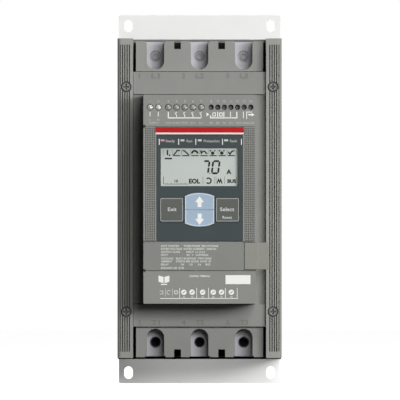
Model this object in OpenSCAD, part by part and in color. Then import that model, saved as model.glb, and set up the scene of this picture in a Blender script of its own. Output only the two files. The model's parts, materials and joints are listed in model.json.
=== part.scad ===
// Wall-mounted three-phase soft starter: finned heat sink with two fans on a sheet plate,
// power parts between deep cable terminals, and a keypad module that stands out in front.
// X runs to the right, Z up, and depth is measured from the wall towards the front (-Y).

/* [Mounting plate] */
// Inset of the sheet plate behind the housing's sides
plate_inset = 0.3; // [0:0.1:1]
// Height of the plate's flanges above and below the housing
plate_end = 20.1; // [15:0.1:25]
// Thickness of the sheet
plate_t = 2; // [1.5:0.5:3]
// Radius of the sheet's corners
plate_corner_r = 1.5; // [0.5:0.5:3]
// Width of the upright wall slots
slot_w = 7; // [6:0.5:8]
// End-to-end length of the wall slots
slot_len = 10; // [9:0.5:11]
// Distance of the slots from the plate's sides
slot_side = 7.7; // [6:0.1:10]
// Distance of the slots from the plate's ends
slot_end = 8.5; // [7.5:0.1:10]

/* [Heat sink] */
// Space between the extrusion and the housing's screw bosses
sink_clear = 1.25; // [0.5:0.05:4]
// Length of the fins, from the plate to the base
fin_h = 68; // [64:1:76]
// Thickness of the base that carries the power parts
sink_base_t = 10; // [8:1:14]
// Thickness of one fin
fin_t = 1.5; // [1:0.1:2.5]
// Distance between fins
fin_pitch = 5; // [4:0.5:7]
// Width of the two screw ribs at the edges
rib_w = 8; // [7:0.5:10]
// Distance of the rib screws from the lower end of the extrusion
rib_screw_end = 6.7; // [5:0.1:20]
// Radius of the screws that hold the plate
rib_screw_r = 2; // [1.5:0.25:2.5]
// Length of the screws inside the ribs
rib_screw_len = 14; // [10:1:20]
// Space between the heat sink and the outlet grille
sink_top_gap = 6; // [3:1:12]

/* [Fans] */
// Space between a fan frame and the housing's side wall
fan_side = 2; // [1:0.5:5]
// Height of the fan frame
fan_h = 25; // [22:1:28]
// Space between the two fan frames
fan_gap = 1; // [0.5:0.5:3]
// Least wall between the fan bore and the frame's side
fan_rim = 2; // [1.5:0.25:4]
// Blades on each rotor
blade_count = 7; // [5:1:9]
// Thickness of a blade
blade_t = 1.2; // [0.8:0.1:1.6]
// Running gap between the blade tips and the bore
tip_gap = 0.8; // [0.5:0.1:1.5]
// Radius of the rotor hub
hub_r = 14; // [12:0.5:16]
// Radius of the rotor shaft
shaft_r = 1.5; // [1:0.25:2]
// Radial running clearance of the shaft
shaft_clear = 0.05; // [0.02:0.01:0.1]
// Space between the fans and the heat sink
fan_sink_gap = 2; // [1:0.5:5]

/* [Housing] */
// Width over the side covers
body_w = 130; // [130:1:140]
// Height of the front face between the terminal rooms
face_h = 202; // [198:1:212]
// Height of each terminal room
terminal_room = 26.4; // [25:0.2:30]
// Wall of the rear housing and the side covers
wall_t = 2.5; // [2:0.25:3]
// Front skin of the rear housing
base_skin = 2; // [1.5:0.5:4]
// Floor of the fan tray
tray_floor_t = 1.7; // [1.2:0.1:3]
// Length of the bosses that take the housing screws
boss_len = 18; // [14:1:24]
// Thread length of the housing screws in their bosses
thread_len = 16; // [12:1:20]
// Free depth of the power room
power_depth = 92; // [90:1:105]
// Thickness of the panel behind the keypad module
panel_t = 4; // [3:0.5:6]
// Rise of the front face above the module seat
face_rise = 4; // [2:0.5:6]
// Rise of the columns above the module seat
column_rise = 8; // [6:0.5:12]
// Height of the pocket that the module stands in
pocket_h = 166.2; // [165.5:0.1:170]
// Seam between housing pieces
seam = 0.15; // [0.05:0.05:0.3]

/* [Columns] */
// Width of a grooved column
column_w = 12.3; // [11.6:0.1:13]
// Radius of the column's outer front edge
column_r = 3; // [1:0.5:4]
// Thickness of the column's front
column_skin = 4; // [3:0.25:5]
// Grooves down each column
groove_count = 5; // [3:1:5]
// Distance between grooves
groove_pitch = 1.8; // [1.4:0.1:1.9]
// Width of a groove
groove_w = 0.9; // [0.5:0.1:1.1]
// Depth of a groove
groove_depth = 2; // [0.8:0.1:2.2]
// Plain length at the ends of the columns
groove_margin = 5; // [3:0.5:10]
// Distance of the housing screws from the column's outer side
screw_in = 6.9; // [6.5:0.1:7.2]
// Height of the housing screws above and below the middle
screw_z = 89; // [70:1:95]
// Radius of the housing screw heads
screw_head_r = 3.6; // [3.2:0.1:3.8]
// Radial clearance round the housing screw heads
head_clear = 0.7; // [0.3:0.1:0.8]
// Depth of the housing screw heads below the column's front
head_sink = 0.4; // [0.2:0.1:1]
// Thickness of the housing screw heads
screw_head_t = 2.4; // [1.5:0.1:3]
// Radius of the housing screw shanks
screw_shank_r = 2; // [1.5:0.1:2.2]
// Radial clearance round screws
screw_clear = 0.25; // [0.1:0.05:0.3]

/* [Terminals] */
// Distance from the outer poles to a shroud's sides
pole_side = 15.4; // [14:0.1:17]
// Width of the busbars
bar_w = 20; // [16:0.5:22]
// Thickness of the busbars
bar_t = 4; // [3:0.5:5]
// Distance of the bars' middle behind the module seat
bar_back = 28; // [26:0.5:30]
// Distance of the terminal holes from the front face's edge
terminal_in = 12.5; // [11:0.5:15]
// Radius of the holes in the busbars
terminal_hole_r = 4.25; // [3.5:0.05:4.5]
// Width across the flats of the terminal nuts
nut_flats = 13; // [11:0.5:14]
// Thickness of the terminal nuts
nut_t = 6.5; // [5:0.5:8]
// Radius of the thread in the terminal nuts
thread_r = 3.4; // [3:0.05:3.45]
// Clearance round the nuts in their pockets
nut_clear = 0.2; // [0.1:0.05:0.3]
// Room for bolt ends behind the nuts
bolt_room = 8; // [5:0.5:14]
// Wall of the insulators behind the busbars
carrier_wall = 2.5; // [2:0.25:3]
// Width of the posts that hold the terminal nuts
nut_post_w = 22; // [20:0.5:24]
// Width of the bolt slots in the posts
bolt_slot_w = 9; // [8.6:0.1:10]
// Gap between a shroud and the columns
shroud_side = 2.3; // [1.5:0.1:3]
// Gap between a shroud and the front face
shroud_gap = 0.4; // [0.2:0.1:0.6]
// Distance from a shroud's outer edge to the end of the housing
shroud_end = 2.2; // [1.8:0.1:3]
// Distance of the shroud face behind the module seat
shroud_set = 2; // [0:0.5:4]
// Front skin of a shroud
shroud_skin = 3; // [2:0.5:5]
// Wall round each cable recess
shroud_wall = 1.8; // [1.2:0.1:2.5]
// Clearance between a shroud and the busbars
shroud_clear = 0.3; // [0.1:0.1:0.5]
// Width of a cable recess
recess_w = 13.8; // [12:0.2:16]
// Distance from the front face's edge to the round end of a recess
recess_end = 1.7; // [1.2:0.1:3]
// Width of the barrier slots between the poles
notch_w = 5.3; // [4:0.1:6]
// Height of the barrier slots
notch_h = 6.2; // [5:0.1:8]

/* [Power parts] */
// Width of a thyristor module
thyristor_w = 34; // [30:1:34]
// Height of a thyristor module
thyristor_h = 94; // [88:1:98]
// Depth of a thyristor module
thyristor_t = 30; // [26:1:32]
// Copper base of a thyristor module
thyristor_base_t = 4; // [3:0.5:6]
// Width of a bypass relay
relay_w = 30; // [26:1:32]
// Depth of a bypass relay
relay_t = 30; // [22:1:31]
// Height where a busbar foot starts, from the middle
foot_z = 14; // [10:1:18]
// Height of the busbar risers, from the middle
riser_z = 46; // [40:1:50]
// Space between a relay and the busbar risers
relay_gap = 2; // [1:0.5:4]
// Space between the current transformers
ct_gap = 5; // [2:0.5:8]
// Depth of a current transformer
ct_t = 36; // [30:1:36]
// Height of a current transformer
ct_h = 10; // [8:1:14]
// Height of the current transformers below the middle
ct_z = 80; // [70:1:86]
// Clearance between a bar and what it passes through
bar_clear = 0.6; // [0.3:0.1:1]
// Thickness of the circuit boards
board_t = 1.6; // [1.2:0.2:2.4]
// Space between the power board and the columns
power_board_side = 2.7; // [1:0.1:6]
// Space between the power board and the face's ends
power_board_end = 9; // [7:0.5:14]
// Distance of the board screws from the board's edges
board_screw_in = 5; // [4:0.5:7]
// Radius of the board screw holes
board_screw_r = 1.6; // [1.2:0.1:2]
// Radius of the posts that carry the power board
power_post_r = 3; // [2.5:0.25:4]
// Width of the ribbon cable
ribbon_w = 16; // [10:1:20]
// Thickness of the ribbon cable
ribbon_t = 1; // [0.6:0.1:1.5]
// Height of the ribbon cable above the middle
ribbon_z = 30; // [20:1:40]
// Height of the ribbon connectors from their boards
connector_t = 3; // [2:0.5:4]
// Space round the ribbon cable in the walls it passes
ribbon_room = 4; // [2:0.5:6]

/* [Control module] */
// Width of the keypad module
module_w = 88.8; // [86:0.2:96]
// Height of the keypad module
module_h = 165; // [162:0.5:165]
// Depth of the keypad module
module_depth = 57; // [52:1:64]
// Wall of the module's case and covers
module_wall = 2; // [1.6:0.1:2.2]
// Radius of the module's corners
module_r = 0.8; // [0.3:0.1:1.5]
// Depth of the front covers
cover_depth = 11; // [10.5:0.5:14]
// Step of the terminal covers behind the keypad bezel
cover_drop = 1; // [0.4:0.1:1.5]
// Step of the label panel behind the keypad bezel
label_drop = 0.6; // [0.2:0.1:1.5]
// Height of the upper cover
upper_h = 25; // [24.5:0.1:26]
// Height of the keypad bezel
bezel_h = 91; // [90.8:0.1:92]
// Height of the label panel
label_h = 22.8; // [22.6:0.1:24]
// Seam between the front covers
cover_seam = 0.3; // [0.1:0.05:0.4]
// Space between the control board and the front covers
board_room = 10; // [9:0.5:14]
// Clearance of the boards in the case
board_clear = 0.6; // [0.3:0.1:1]

/* [Keypad] */
// Width of the keypad panel
pad_w = 68; // [67:0.2:70]
// Height of the keypad panel
pad_h = 83.9; // [83:0.1:84]
// Thickness of the keypad panel
pad_t = 1.4; // [1:0.1:1.8]
// Ledge that carries the keypad panel
ledge_t = 2; // [1.5:0.1:2.5]
// Depth of the panel recess in the bezel
pad_recess = 2; // [1.9:0.1:2.5]
// Distance from the panel's lower edge to the bezel's lower edge
pad_foot = 0.3; // [0.2:0.1:0.5]
// Clearance round the panel and the strip
pad_clear = 0.15; // [0.05:0.05:0.25]
// Width of the colour strip
strip_w = 69.6; // [68:0.2:72]
// Height of the colour strip
strip_h = 5.5; // [4:0.1:5.6]
// Gap between the strip and the panel
strip_gap = 0.2; // [0.1:0.1:0.4]
// Width of the display window
lcd_w = 61.2; // [58:0.2:62]
// Height of the display window
lcd_h = 30.2; // [28:0.2:31]
// Distance from the panel's upper edge to the display window
lcd_down = 10.4; // [9.5:0.1:10.8]
// Lip of the window pane behind the panel
lens_lip = 1; // [0.6:0.1:1.2]
// Gap between the display cell and the window pane
lens_gap = 0.2; // [0.1:0.05:0.4]
// Distance from the panel's upper edge to the lamps
lamp_down = 4.5; // [4:0.1:5]
// Width of a status lamp
lamp_w = 3; // [2:0.1:3.4]
// Height of a status lamp
lamp_h = 1.5; // [1:0.1:2]
// Width of the exit and select keys
key_w = 18.3; // [16:0.1:18.5]
// Height of the exit and select keys
key_h = 18.7; // [17:0.1:19]
// Corner radius of the keys
key_r = 0.8; // [0.4:0.1:1.5]
// Width of the arrow keys
arrow_w = 23.2; // [22:0.1:23.4]
// Height of both arrow keys at their middle
arrow_h = 26.5; // [25:0.1:27]
// Bow of the arrow keys' outer edges
arrow_bow = 2.4; // [1:0.1:3.5]
// Distance between a side key and the arrow keys
key_gap = 1.3; // [1.2:0.1:1.6]
// Distance from the panel's lower edge to the middle of the keys
key_up = 24.6; // [24:0.1:25]
// Clearance round a key
key_clear = 0.3; // [0.25:0.05:0.4]
// Rise of the keys above the panel
key_rise = 0.6; // [0.3:0.1:1]
// Travel of a key
key_travel = 0.8; // [0.5:0.1:1]
// Thickness of a key's flange
flange_t = 1.5; // [1:0.1:1.8]
// Lip of a key's flange behind the panel
flange_lip = 0.9; // [0.6:0.1:1]
// Thickness of the rubber mat
mat_t = 2; // [1.5:0.1:2.2]

/* [Control terminals] */
// Height of the control screws above the middle of the module
control_z = 72.6; // [72:0.1:73.5]
// Radius of the large control screws
big_screw_r = 2.3; // [2:0.05:2.4]
// Radius of the small control screws
small_screw_r = 1.45; // [1.2:0.05:1.5]
// Radius of the wells over the small control screws
small_well_r = 2.1; // [1.8:0.05:2.2]
// Difference between a large and a small clamp cell
cell_step = 1.3; // [0.8:0.1:1.6]
// Gap between the supply cells and the input cells
group_gap_left = 1.4; // [0.8:0.1:2]
// Gap between the input cells and the relay cells
group_gap_right = 2.05; // [1:0.05:3]
// Space between the supply block and the case's left wall
supply_clear = 0.6; // [0.2:0.05:1]
// Space between the relay block and the case's right wall
relay_clear = 0.15; // [0.1:0.05:0.3]
// Height of a terminal block
block_h = 13; // [12:0.1:13.4]
// Depth of a terminal block
block_t = 15.5; // [14.5:0.1:16.5]
// Side of the square wire entries
wire_side = 3.4; // [2.6:0.1:3.6]
// Radial clearance of the large screws in the cover
cover_screw_clear = 0.3; // [0.2:0.05:0.35]

/* [Bus port] */
// Width of the socket
socket_w = 7; // [6.8:0.1:7.1]
// Height of the socket
socket_h = 18; // [17:0.1:18.6]
// Wall of the socket
socket_wall = 1.2; // [0.8:0.1:1.3]
// Depth of the socket's hollow
socket_hollow = 12; // [8:0.5:12]
// Width of the cover's front cap
cap_w = 9.2; // [9:0.1:9.6]
// Height of the cover
cap_h = 21.2; // [20.6:0.1:21.4]
// Thickness of the cover's front cap
cap_t = 2; // [1.5:0.1:2.5]
// Width of the cover's side tab
tab_w = 9.8; // [8:0.1:10.5]
// Depth of the cover's side tab
tab_t = 15; // [10:0.5:18]
// Step of the side tab behind the cap
tab_drop = 1.2; // [0.6:0.1:2]
// Running gap round the cover
cap_clear = 0.3; // [0.3:0.05:0.5]

/* [Hidden] */
$fn = 64;
// Overshoot of a cut past a face
cut = 1;

// Depths from the wall, back to front
d_plate = plate_t;
d_fin = d_plate + fin_h;
d_sink = d_fin + sink_base_t;
d_base = d_sink + base_skin;
d_panel = d_base + power_depth;
d_seat = d_panel + panel_t;
d_face = d_seat + face_rise;
d_column = d_seat + column_rise;
d_front = d_seat + module_depth;
d_bar = d_seat - bar_back;
d_shroud = d_seat - shroud_set;
d_power_board = d_bar + ct_t / 2;

// Widths and heights of the plate and the housing
half_w = body_w / 2;
column_in = half_w - column_w;
face_half = face_h / 2;
body_top = face_half + terminal_room;
plate_w = body_w - 2 * plate_inset;
plate_h = 2 * (body_top + plate_end);
slot_pitch_x = plate_w - 2 * slot_side;
slot_pitch_z = plate_h - 2 * slot_end;
tray_bottom = -body_top;
body_bottom = tray_bottom + tray_floor_t;
screw_x = half_w - screw_in;
boss_wall = 1.6;
boss_r = screw_shank_r + screw_clear + boss_wall;
head_hole_r = screw_head_r + head_clear;
post_wall = 0.65;
post_r = head_hole_r + post_wall;
end_wall_t = 2.5;
window_end = 8;
sink_w = 2 * (screw_x - boss_r - sink_clear);
hole_extra = 2;
groove_shift = 0.35;
cross_len = 1.25 * screw_head_r;
cross_w = 1.1;
cross_depth = 1.5;
sunk_head_t = 0.7 * plate_t;

// Fans on the tray floor
fan_size = half_w - wall_t - fan_side - fan_gap / 2;
fan_bore_r = fan_size / 2 - fan_rim;
fan_x = (fan_size + fan_gap) / 2;
fan_shift = 4;
fan_d = (d_plate + d_fin) / 2 + fan_shift;
fan_clear = 0.3;
fan_flange_t = 4;
fan_duct_t = 1.4;
fan_corner_r = 4;
fan_screw_r = 2.2;
fan_screw_in = 4.5;
strut_w = 3;
bearing_r = 4;
bearing_h = 9;
shaft_foot = 2;
hub_plate_t = 3;
hub_gap = 1.5;
hub_wall = 1.5;
rotor_bottom = body_bottom + hub_plate_t + hub_gap;
rotor_h = fan_h - hub_plate_t - 2 * hub_gap;
blade_bow = 2;
blade_end = 1.5;
guard_hub_r = 6;
guard_ring_w = 1.4;
guard_spoke_w = 2.4;
tray_lip_in = 1;
tray_lip_t = 2;
tray_lip_h = 6;
sink_bottom = body_bottom + fan_h + fan_sink_gap;
rib_screw_z = -sink_bottom - rib_screw_end;
grille_t = 2;
grille_pitch = 6;
grille_slot = 3.6;
grille_slot_r = 1.7;
grille_bar = 4;
sink_top = body_top - grille_t - sink_top_gap;

// Power parts
shroud_w = 2 * (column_in - shroud_side);
pole_pitch = shroud_w / 2 - pole_side;
ct_w = pole_pitch - ct_gap;
power_board_w = 2 * (column_in - power_board_side);
power_board_h = 2 * (face_half - power_board_end);
poles = [-pole_pitch, 0, pole_pitch];
outer_poles = [-pole_pitch, pole_pitch];
shroud_outer = body_top - shroud_end;
shroud_inner = face_half + shroud_gap;
terminal_z = face_half + terminal_in;
bar_end_in = 0.4;
bar_end = shroud_outer - bar_end_in;
flare = 1.1;
d_thyristor = d_sink + thyristor_t;
d_foot = d_thyristor + bar_t / 2;
window_side_room = 1;
window_w = 2 * (pole_pitch + window_side_room) + thyristor_w;
case_r = 2;
case_in = 1;
case_hole_in = 5;
case_hole_r = 2.6;
pad_step = 1;
pad_half = 9;
relay_foot_t = 3;
relay_foot_in = 12;
relay_foot_h = 18;
ct_r = 4;
drive_zs = [-24, 0, 24];
drive_share = 0.7;
drive_half = 8;
drive_t = 14;
capacitor_r = 5;
capacitor_t = 14;
capacitor_z = 55;
capacitor_pitch = 2.3 * capacitor_r;
header_side = 2;
header_h = 6;

// Keypad module
half_m = module_w / 2;
module_top = module_h / 2;
z_upper = module_top - upper_h;
z_bezel = z_upper - bezel_h;
z_label = z_bezel - label_h;
d_split = d_front - cover_depth;
d_cover = d_front - cover_drop;
d_label = d_front - label_drop;
d_control = d_split - board_room - board_t;
inner_w = module_w - 2 * module_wall;
board_post_r = 3;
board_post_in = 5;
board_post_end = 19;
supply_part = 26;
supply_part_t = 18;
supply_part_x = -12;
supply_part_z = -35;
chip_side = 14;
chip_t = 1.6;
pry_w = 1.6;
pry_h = 2.4;
pry_depth = 3;

// Keypad pieces
pad_bottom = z_bezel + cover_seam + pad_foot;
pad_top = pad_bottom + pad_h;
d_ledge = d_front - pad_recess;
d_inside = d_ledge - ledge_t;
d_pad = d_ledge + pad_t;
display_set = 2;
d_display_board = d_split - display_set;
lcd_z = pad_top - lcd_down - lcd_h / 2;
lamp_z = pad_top - lamp_down;
lamp_xs = [-29.2, -13.5, 0.1, 21];
key_z = pad_bottom + key_up;
side_key_x = arrow_w / 2 + key_gap + key_w / 2;
flange_front = d_ledge - key_clear;
flange_back = flange_front - flange_t;
flange_side_in = 0.5;
arrow_flange_in = 3;
dome_gap = 0.5;
dome_r = 5;
dome_top_r = 3;
dome_top = flange_back - key_travel - dome_gap;
mat_side = 2;
mat_over = 1;
window_side = 1;
lamp_clear = 0.1;
lamp_window_in = 1;
lens_window_clear = 0.6;
strip_floor = 0.6;
bezel_post_r = 2.4;
bezel_post_in = 4;
bezel_post_end = 6;
backlight_t = 2.4;
backlight_border = 1;
glass_border = 0.8;
contact_edge = 1;
pane_clear = 0.15;
pane_sink = 0.1;

// Control terminals
cell_wall = 0.3;
big_side = big_screw_r + screw_clear / 2 + cell_wall;
small_side = small_screw_r + screw_clear / 2 + cell_wall;
supply_x = supply_clear + big_side - inner_w / 2;
relay_end = inner_w / 2 - small_side - relay_clear;
cell_row = relay_end - supply_x - group_gap_left - group_gap_right;
small_pitch = (cell_row - 6.5 * cell_step) / 13;
big_pitch = small_pitch + cell_step;
input_x = supply_x + 2 * big_pitch + group_gap_left;
supply_xs = [for (i = [0:1]) supply_x + i * big_pitch];
input_xs = [for (i = [0:4]) input_x + i * big_pitch];
relay_xs = [for (i = [6:-1:0]) relay_end - i * small_pitch];
block_back = d_control + board_t;
block_front = block_back + block_t;
well_t = 8;
wire_sill = 1.5;
wire_back = 4;
wire_depth = 6;
big_screw_sink = 0.9;
small_screw_sink = 3;
screw_slot_w = 0.6;
screw_slot_d = 0.8;
slot_turn = 40;

// Bus port at the right edge of the label panel
port_z = (z_bezel + z_label) / 2;
cap_over = 0.2;
cap_right = half_m + cap_over;
cap_left = cap_right - cap_w;
socket_x = half_m - module_wall - socket_w / 2 - seam;
socket_front = d_front - cap_t - cap_clear;
port_room = cap_h + 2 * cap_clear;
port_floor = 3;
pin_pitch = 2.8;
pin_r = 0.5;
pin_len = 3;
tab_wall = 1.5;
tab_skin = 2;

// Front-view outline (X, Z) extruded between two depths
module out(d0, d1) {
    translate([0, -d0, 0]) rotate([90, 0, 0]) linear_extrude(d1 - d0) children();
}

// Plan outline (X, depth) extruded between two heights
module rise(z0, z1) {
    translate([0, 0, z0]) linear_extrude(z1 - z0) mirror([0, 1]) children();
}

// Side-view outline (depth, Z) extruded between two places along X
module across(x0, x1) {
    translate([x0, 0, 0]) rotate([90, 0, 90]) linear_extrude(x1 - x0) mirror([1, 0]) children();
}

// Box between limits in X, depth and Z
module block(x, d, z) {
    translate([x[0], -d[1], z[0]]) cube([x[1] - x[0], d[1] - d[0], z[1] - z[0]]);
}

// Round bar along the depth at a place in the front view
module peg(x, z, r, d0, d1) {
    translate([x, -d0, z]) rotate([90, 0, 0]) cylinder(r = r, h = d1 - d0);
}

// Rectangle between limits in the drawing plane
module area(x, y) {
    translate([x[0], y[0]]) square([x[1] - x[0], y[1] - y[0]]);
}

// Rectangle with round corners about the origin
module round_area(w, h, r) {
    square([w - 2 * r, h], center = true);
    square([w, h - 2 * r], center = true);
    for (x = [-1, 1], y = [-1, 1])
        translate([x * (w / 2 - r), y * (h / 2 - r)]) circle(r);
}

// Strip of constant thickness along a chain of points, round at the bends
module strip(points, t) {
    for (i = [0:len(points) - 2]) {
        step = points[i + 1] - points[i];
        translate(points[i]) rotate(atan2(step[1], step[0]))
            translate([0, -t / 2]) square([norm(step), t]);
    }
    for (i = [1:len(points) - 2])
        translate(points[i]) circle(t / 2);
}

// Upright slot about the origin
module wall_slot() {
    square([slot_w, slot_len - slot_w], center = true);
    for (s = [-1, 1])
        translate([0, s * (slot_len - slot_w) / 2]) circle(slot_w / 2);
}

module mounting_plate() {
    color([0.90, 0.90, 0.89]) difference() {
        out(0, d_plate) difference() {
            round_area(plate_w, plate_h, plate_corner_r);
            for (x = [-1, 1], z = [-1, 1])
                translate([x * slot_pitch_x / 2, z * slot_pitch_z / 2]) wall_slot();
        }
        rib_screw_places() {
            peg(0, 0, rib_screw_r + screw_clear, -cut, d_plate + cut);
            plate_screw_head(screw_clear);
        }
    }
}

// Places of the screws that pass the plate into the heat sink's ribs
module rib_screw_places() {
    for (x = [-1, 1], z = [-1, 1])
        translate([x * (sink_w - rib_w) / 2, 0, z * rib_screw_z]) children();
}

// Countersunk head that ends flush with the wall side of the plate
module plate_screw_head(extra) {
    rotate([90, 0, 0])
        cylinder(r1 = rib_screw_r + sunk_head_t + extra, r2 = rib_screw_r + extra, h = sunk_head_t);
}

module plate_screws() {
    color([0.75, 0.76, 0.78]) rib_screw_places() {
        plate_screw_head(0);
        peg(0, 0, rib_screw_r, 0, d_plate + rib_screw_len);
    }
}

// Deep U channel round the heat sink, open to the wall and at both ends
module rear_housing() {
    color([0.42, 0.43, 0.41]) difference() {
        union() {
            rise(body_bottom, body_top) difference() {
                area([-half_w, half_w], [d_plate, d_base]);
                area([-half_w + wall_t, half_w - wall_t], [d_plate - cut, d_sink]);
            }
            housing_screw_places() peg(0, 0, boss_r, d_sink - boss_len, d_sink);
        }
        block([-window_w / 2, window_w / 2], [d_sink - cut, d_base + cut],
            [-face_half + window_end, face_half - window_end]);
        housing_screw_places()
            peg(0, 0, screw_shank_r + shaft_clear, d_sink - boss_len - cut, d_base + cut);
    }
}

// Places of the four long screws that hold the side covers
module housing_screw_places() {
    for (x = [-1, 1], z = [-1, 1])
        translate([x * screw_x, 0, z * screw_z]) children();
}

// Extruded comb: base, fins to the plate and a thick screw rib at each edge
module heat_sink() {
    rib_in = sink_w / 2 - rib_w;
    fins = floor((rib_in - fin_pitch / 2) / fin_pitch);
    color([0.72, 0.73, 0.74]) difference() {
        rise(sink_bottom, sink_top) {
            area([-sink_w / 2, sink_w / 2], [d_fin, d_sink]);
            for (i = [-fins:fins])
                translate([i * fin_pitch, 0]) area([-fin_t / 2, fin_t / 2], [d_plate, d_fin + cut]);
            for (s = [-1, 1])
                translate([s * (sink_w - rib_w) / 2, 0])
                    area([-rib_w / 2, rib_w / 2], [d_plate, d_fin + cut]);
        }
        rib_screw_places() peg(0, 0, rib_screw_r + shaft_clear, d_plate - cut,
            d_plate + rib_screw_len + hole_extra);
    }
}

// Finger guard: rings and spokes across a fan opening
module guard() {
    circle(guard_hub_r);
    for (r = [2 * guard_hub_r:guard_hub_r:fan_bore_r - guard_ring_w])
        difference() {
            circle(r + guard_ring_w / 2);
            circle(r - guard_ring_w / 2);
        }
    for (a = [45, 135])
        rotate(a) square([2 * fan_bore_r + cut, guard_spoke_w], center = true);
}

// Black floor with finger guards and two upright lips that hold the fans
module fan_tray() {
    lip_w = 2 * (half_w - wall_t - seam - tray_lip_in);
    color([0.05, 0.05, 0.055]) {
        rise(tray_bottom, body_bottom) {
            difference() {
                area([-half_w, half_w], [d_plate, d_base]);
                for (s = [-1, 1])
                    translate([s * fan_x, fan_d]) circle(fan_bore_r);
            }
            for (s = [-1, 1])
                translate([s * fan_x, fan_d]) guard();
        }
        rise(body_bottom, body_bottom + tray_lip_h) for (s = [-1, 1])
            translate([0, fan_d + s * (fan_size / 2 + fan_clear + tray_lip_t / 2)])
                square([lip_w, tray_lip_t], center = true);
    }
}

// Square frame with bore, hub plate on struts and a bearing for the rotor shaft
module fan_frame(s) {
    color([0.07, 0.07, 0.075]) translate([s * fan_x, -fan_d, body_bottom]) {
        difference() {
            linear_extrude(fan_h) difference() {
                round_area(fan_size, fan_size, fan_corner_r);
                circle(fan_bore_r);
                for (x = [-1, 1], y = [-1, 1])
                    translate([x, y] * (fan_size / 2 - fan_screw_in)) circle(fan_screw_r);
            }
            for (a = [0, 90])
                rotate(a) translate([0, 0, fan_h / 2])
                    cube([fan_size - 4 * fan_screw_in, fan_size + cut, fan_h - 2 * fan_flange_t],
                        center = true);
        }
        linear_extrude(fan_h) difference() {
            circle(fan_bore_r + fan_duct_t);
            circle(fan_bore_r);
        }
        linear_extrude(hub_plate_t) difference() {
            union() {
                circle(hub_r - hub_wall);
                for (a = [0, 90])
                    rotate(a) square([2 * fan_bore_r + cut, strut_w], center = true);
            }
            circle(shaft_r + shaft_clear);
        }
        linear_extrude(hub_plate_t + bearing_h) difference() {
            circle(bearing_r);
            circle(shaft_r + shaft_clear);
        }
    }
}

// One cambered blade: an annulus sector cut from a shell whose axis is radial
module blade() {
    half = rotor_h / 2 - blade_end;
    reach = half * sqrt(2);
    camber_r = (reach * reach + blade_bow * blade_bow) / (2 * blade_bow);
    shift = (camber_r - blade_bow) / sqrt(2);
    intersection() {
        translate([0, 0, rotor_h / 2]) difference() {
            cylinder(r = fan_bore_r - tip_gap, h = rotor_h, center = true);
            cylinder(r = hub_r - hub_wall / 2, h = rotor_h + cut, center = true);
        }
        translate([0, -half - blade_bow, rotor_h / 2 - half])
            cube([fan_bore_r, 2 * (half + blade_bow), 2 * half]);
        translate([0, -shift, rotor_h / 2 + shift]) rotate([0, 90, 0]) difference() {
            cylinder(r = camber_r + blade_t / 2, h = fan_bore_r);
            translate([0, 0, -cut]) cylinder(r = camber_r - blade_t / 2, h = fan_bore_r + 2 * cut);
        }
    }
}

// Cup-shaped hub with its blades and shaft
module fan_rotor(s) {
    color([0.10, 0.10, 0.11]) translate([s * fan_x, -fan_d, rotor_bottom]) {
        difference() {
            cylinder(r = hub_r, h = rotor_h);
            translate([0, 0, -cut]) cylinder(r = hub_r - hub_wall, h = rotor_h - hub_wall + cut);
        }
        for (i = [0:blade_count - 1])
            rotate(i * 360 / blade_count) blade();
        translate([0, 0, -hub_gap - shaft_foot])
            cylinder(r = shaft_r, h = rotor_h + hub_gap + shaft_foot - hub_wall / 2);
    }
}

// Slotted lid at the top end of the air duct
module outlet_grille() {
    half = half_w - wall_t - seam;
    count = floor((half - grille_pitch) / grille_pitch);
    rows = [d_plate + grille_bar, (d_plate + d_sink) / 2, d_sink - grille_bar];
    color([0.09, 0.09, 0.095]) rise(body_top - grille_t, body_top) difference() {
        area([-half, half], [d_plate + seam, d_sink - seam]);
        for (i = [-count:count], j = [0, 1])
            translate([i * grille_pitch, (rows[j] + rows[j + 1]) / 2])
                round_area(grille_slot, rows[j + 1] - rows[j] - grille_bar, grille_slot_r);
    }
}

// Copper base, moulded case and three screw pads up the front
module thyristor(x) {
    d_case = d_sink + thyristor_base_t;
    color([0.14, 0.14, 0.15]) translate([x, 0, 0]) {
        difference() {
            out(d_sink, d_case) round_area(thyristor_w, thyristor_h, case_r);
            for (z = [-1, 1])
                peg(0, z * (thyristor_h / 2 - case_hole_in), case_hole_r, d_sink - cut, d_case + cut);
        }
        out(d_case, d_thyristor - pad_step)
            round_area(thyristor_w - 2 * case_in, thyristor_h - 4 * case_hole_in, case_r);
        for (z = [-1, 0, 1])
            out(d_thyristor - pad_step - cut, d_thyristor) translate([0, z * (foot_z + pad_half)])
                round_area(thyristor_w - 6 * case_in, 2 * pad_half - case_in, case_r);
    }
}

// Sealed relay that bridges the two busbar feet of its phase
module bypass_relay(x) {
    half = riser_z - bar_t / 2 - relay_gap;
    d0 = d_foot + bar_t / 2;
    color([0.86, 0.86, 0.83]) translate([x, 0, 0]) {
        out(d0 + relay_foot_t, d0 + relay_t) round_area(relay_w, 2 * half, case_r);
        for (z = [-1, 1])
            out(d0, d0 + relay_foot_t + cut) translate([0, z * (half - relay_foot_in)])
                square([relay_w - relay_foot_in, relay_foot_h], center = true);
    }
}

// Bent bar from a thyristor pad out to its terminal; s is 1 at the line side, -1 at the load side
module outer_busbar(x, s) {
    bends = [
        [d_foot, s * foot_z], [d_foot, s * riser_z], [d_bar, s * riser_z], [d_bar, s * bar_end]
    ];
    color([0.74, 0.73, 0.74]) difference() {
        across(x - bar_w / 2, x + bar_w / 2) strip(bends, bar_t);
        peg(x, s * terminal_z, terminal_hole_r, d_bar - bar_t, d_bar + bar_t);
    }
}

// Straight bar of the middle phase from the line terminal to the load terminal
module center_busbar() {
    color([0.74, 0.73, 0.74]) difference() {
        out(d_bar - bar_t / 2, d_bar + bar_t / 2) square([bar_w, 2 * bar_end], center = true);
        for (s = [-1, 1])
            peg(0, s * terminal_z, terminal_hole_r, d_bar - bar_t, d_bar + bar_t);
    }
}

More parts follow.
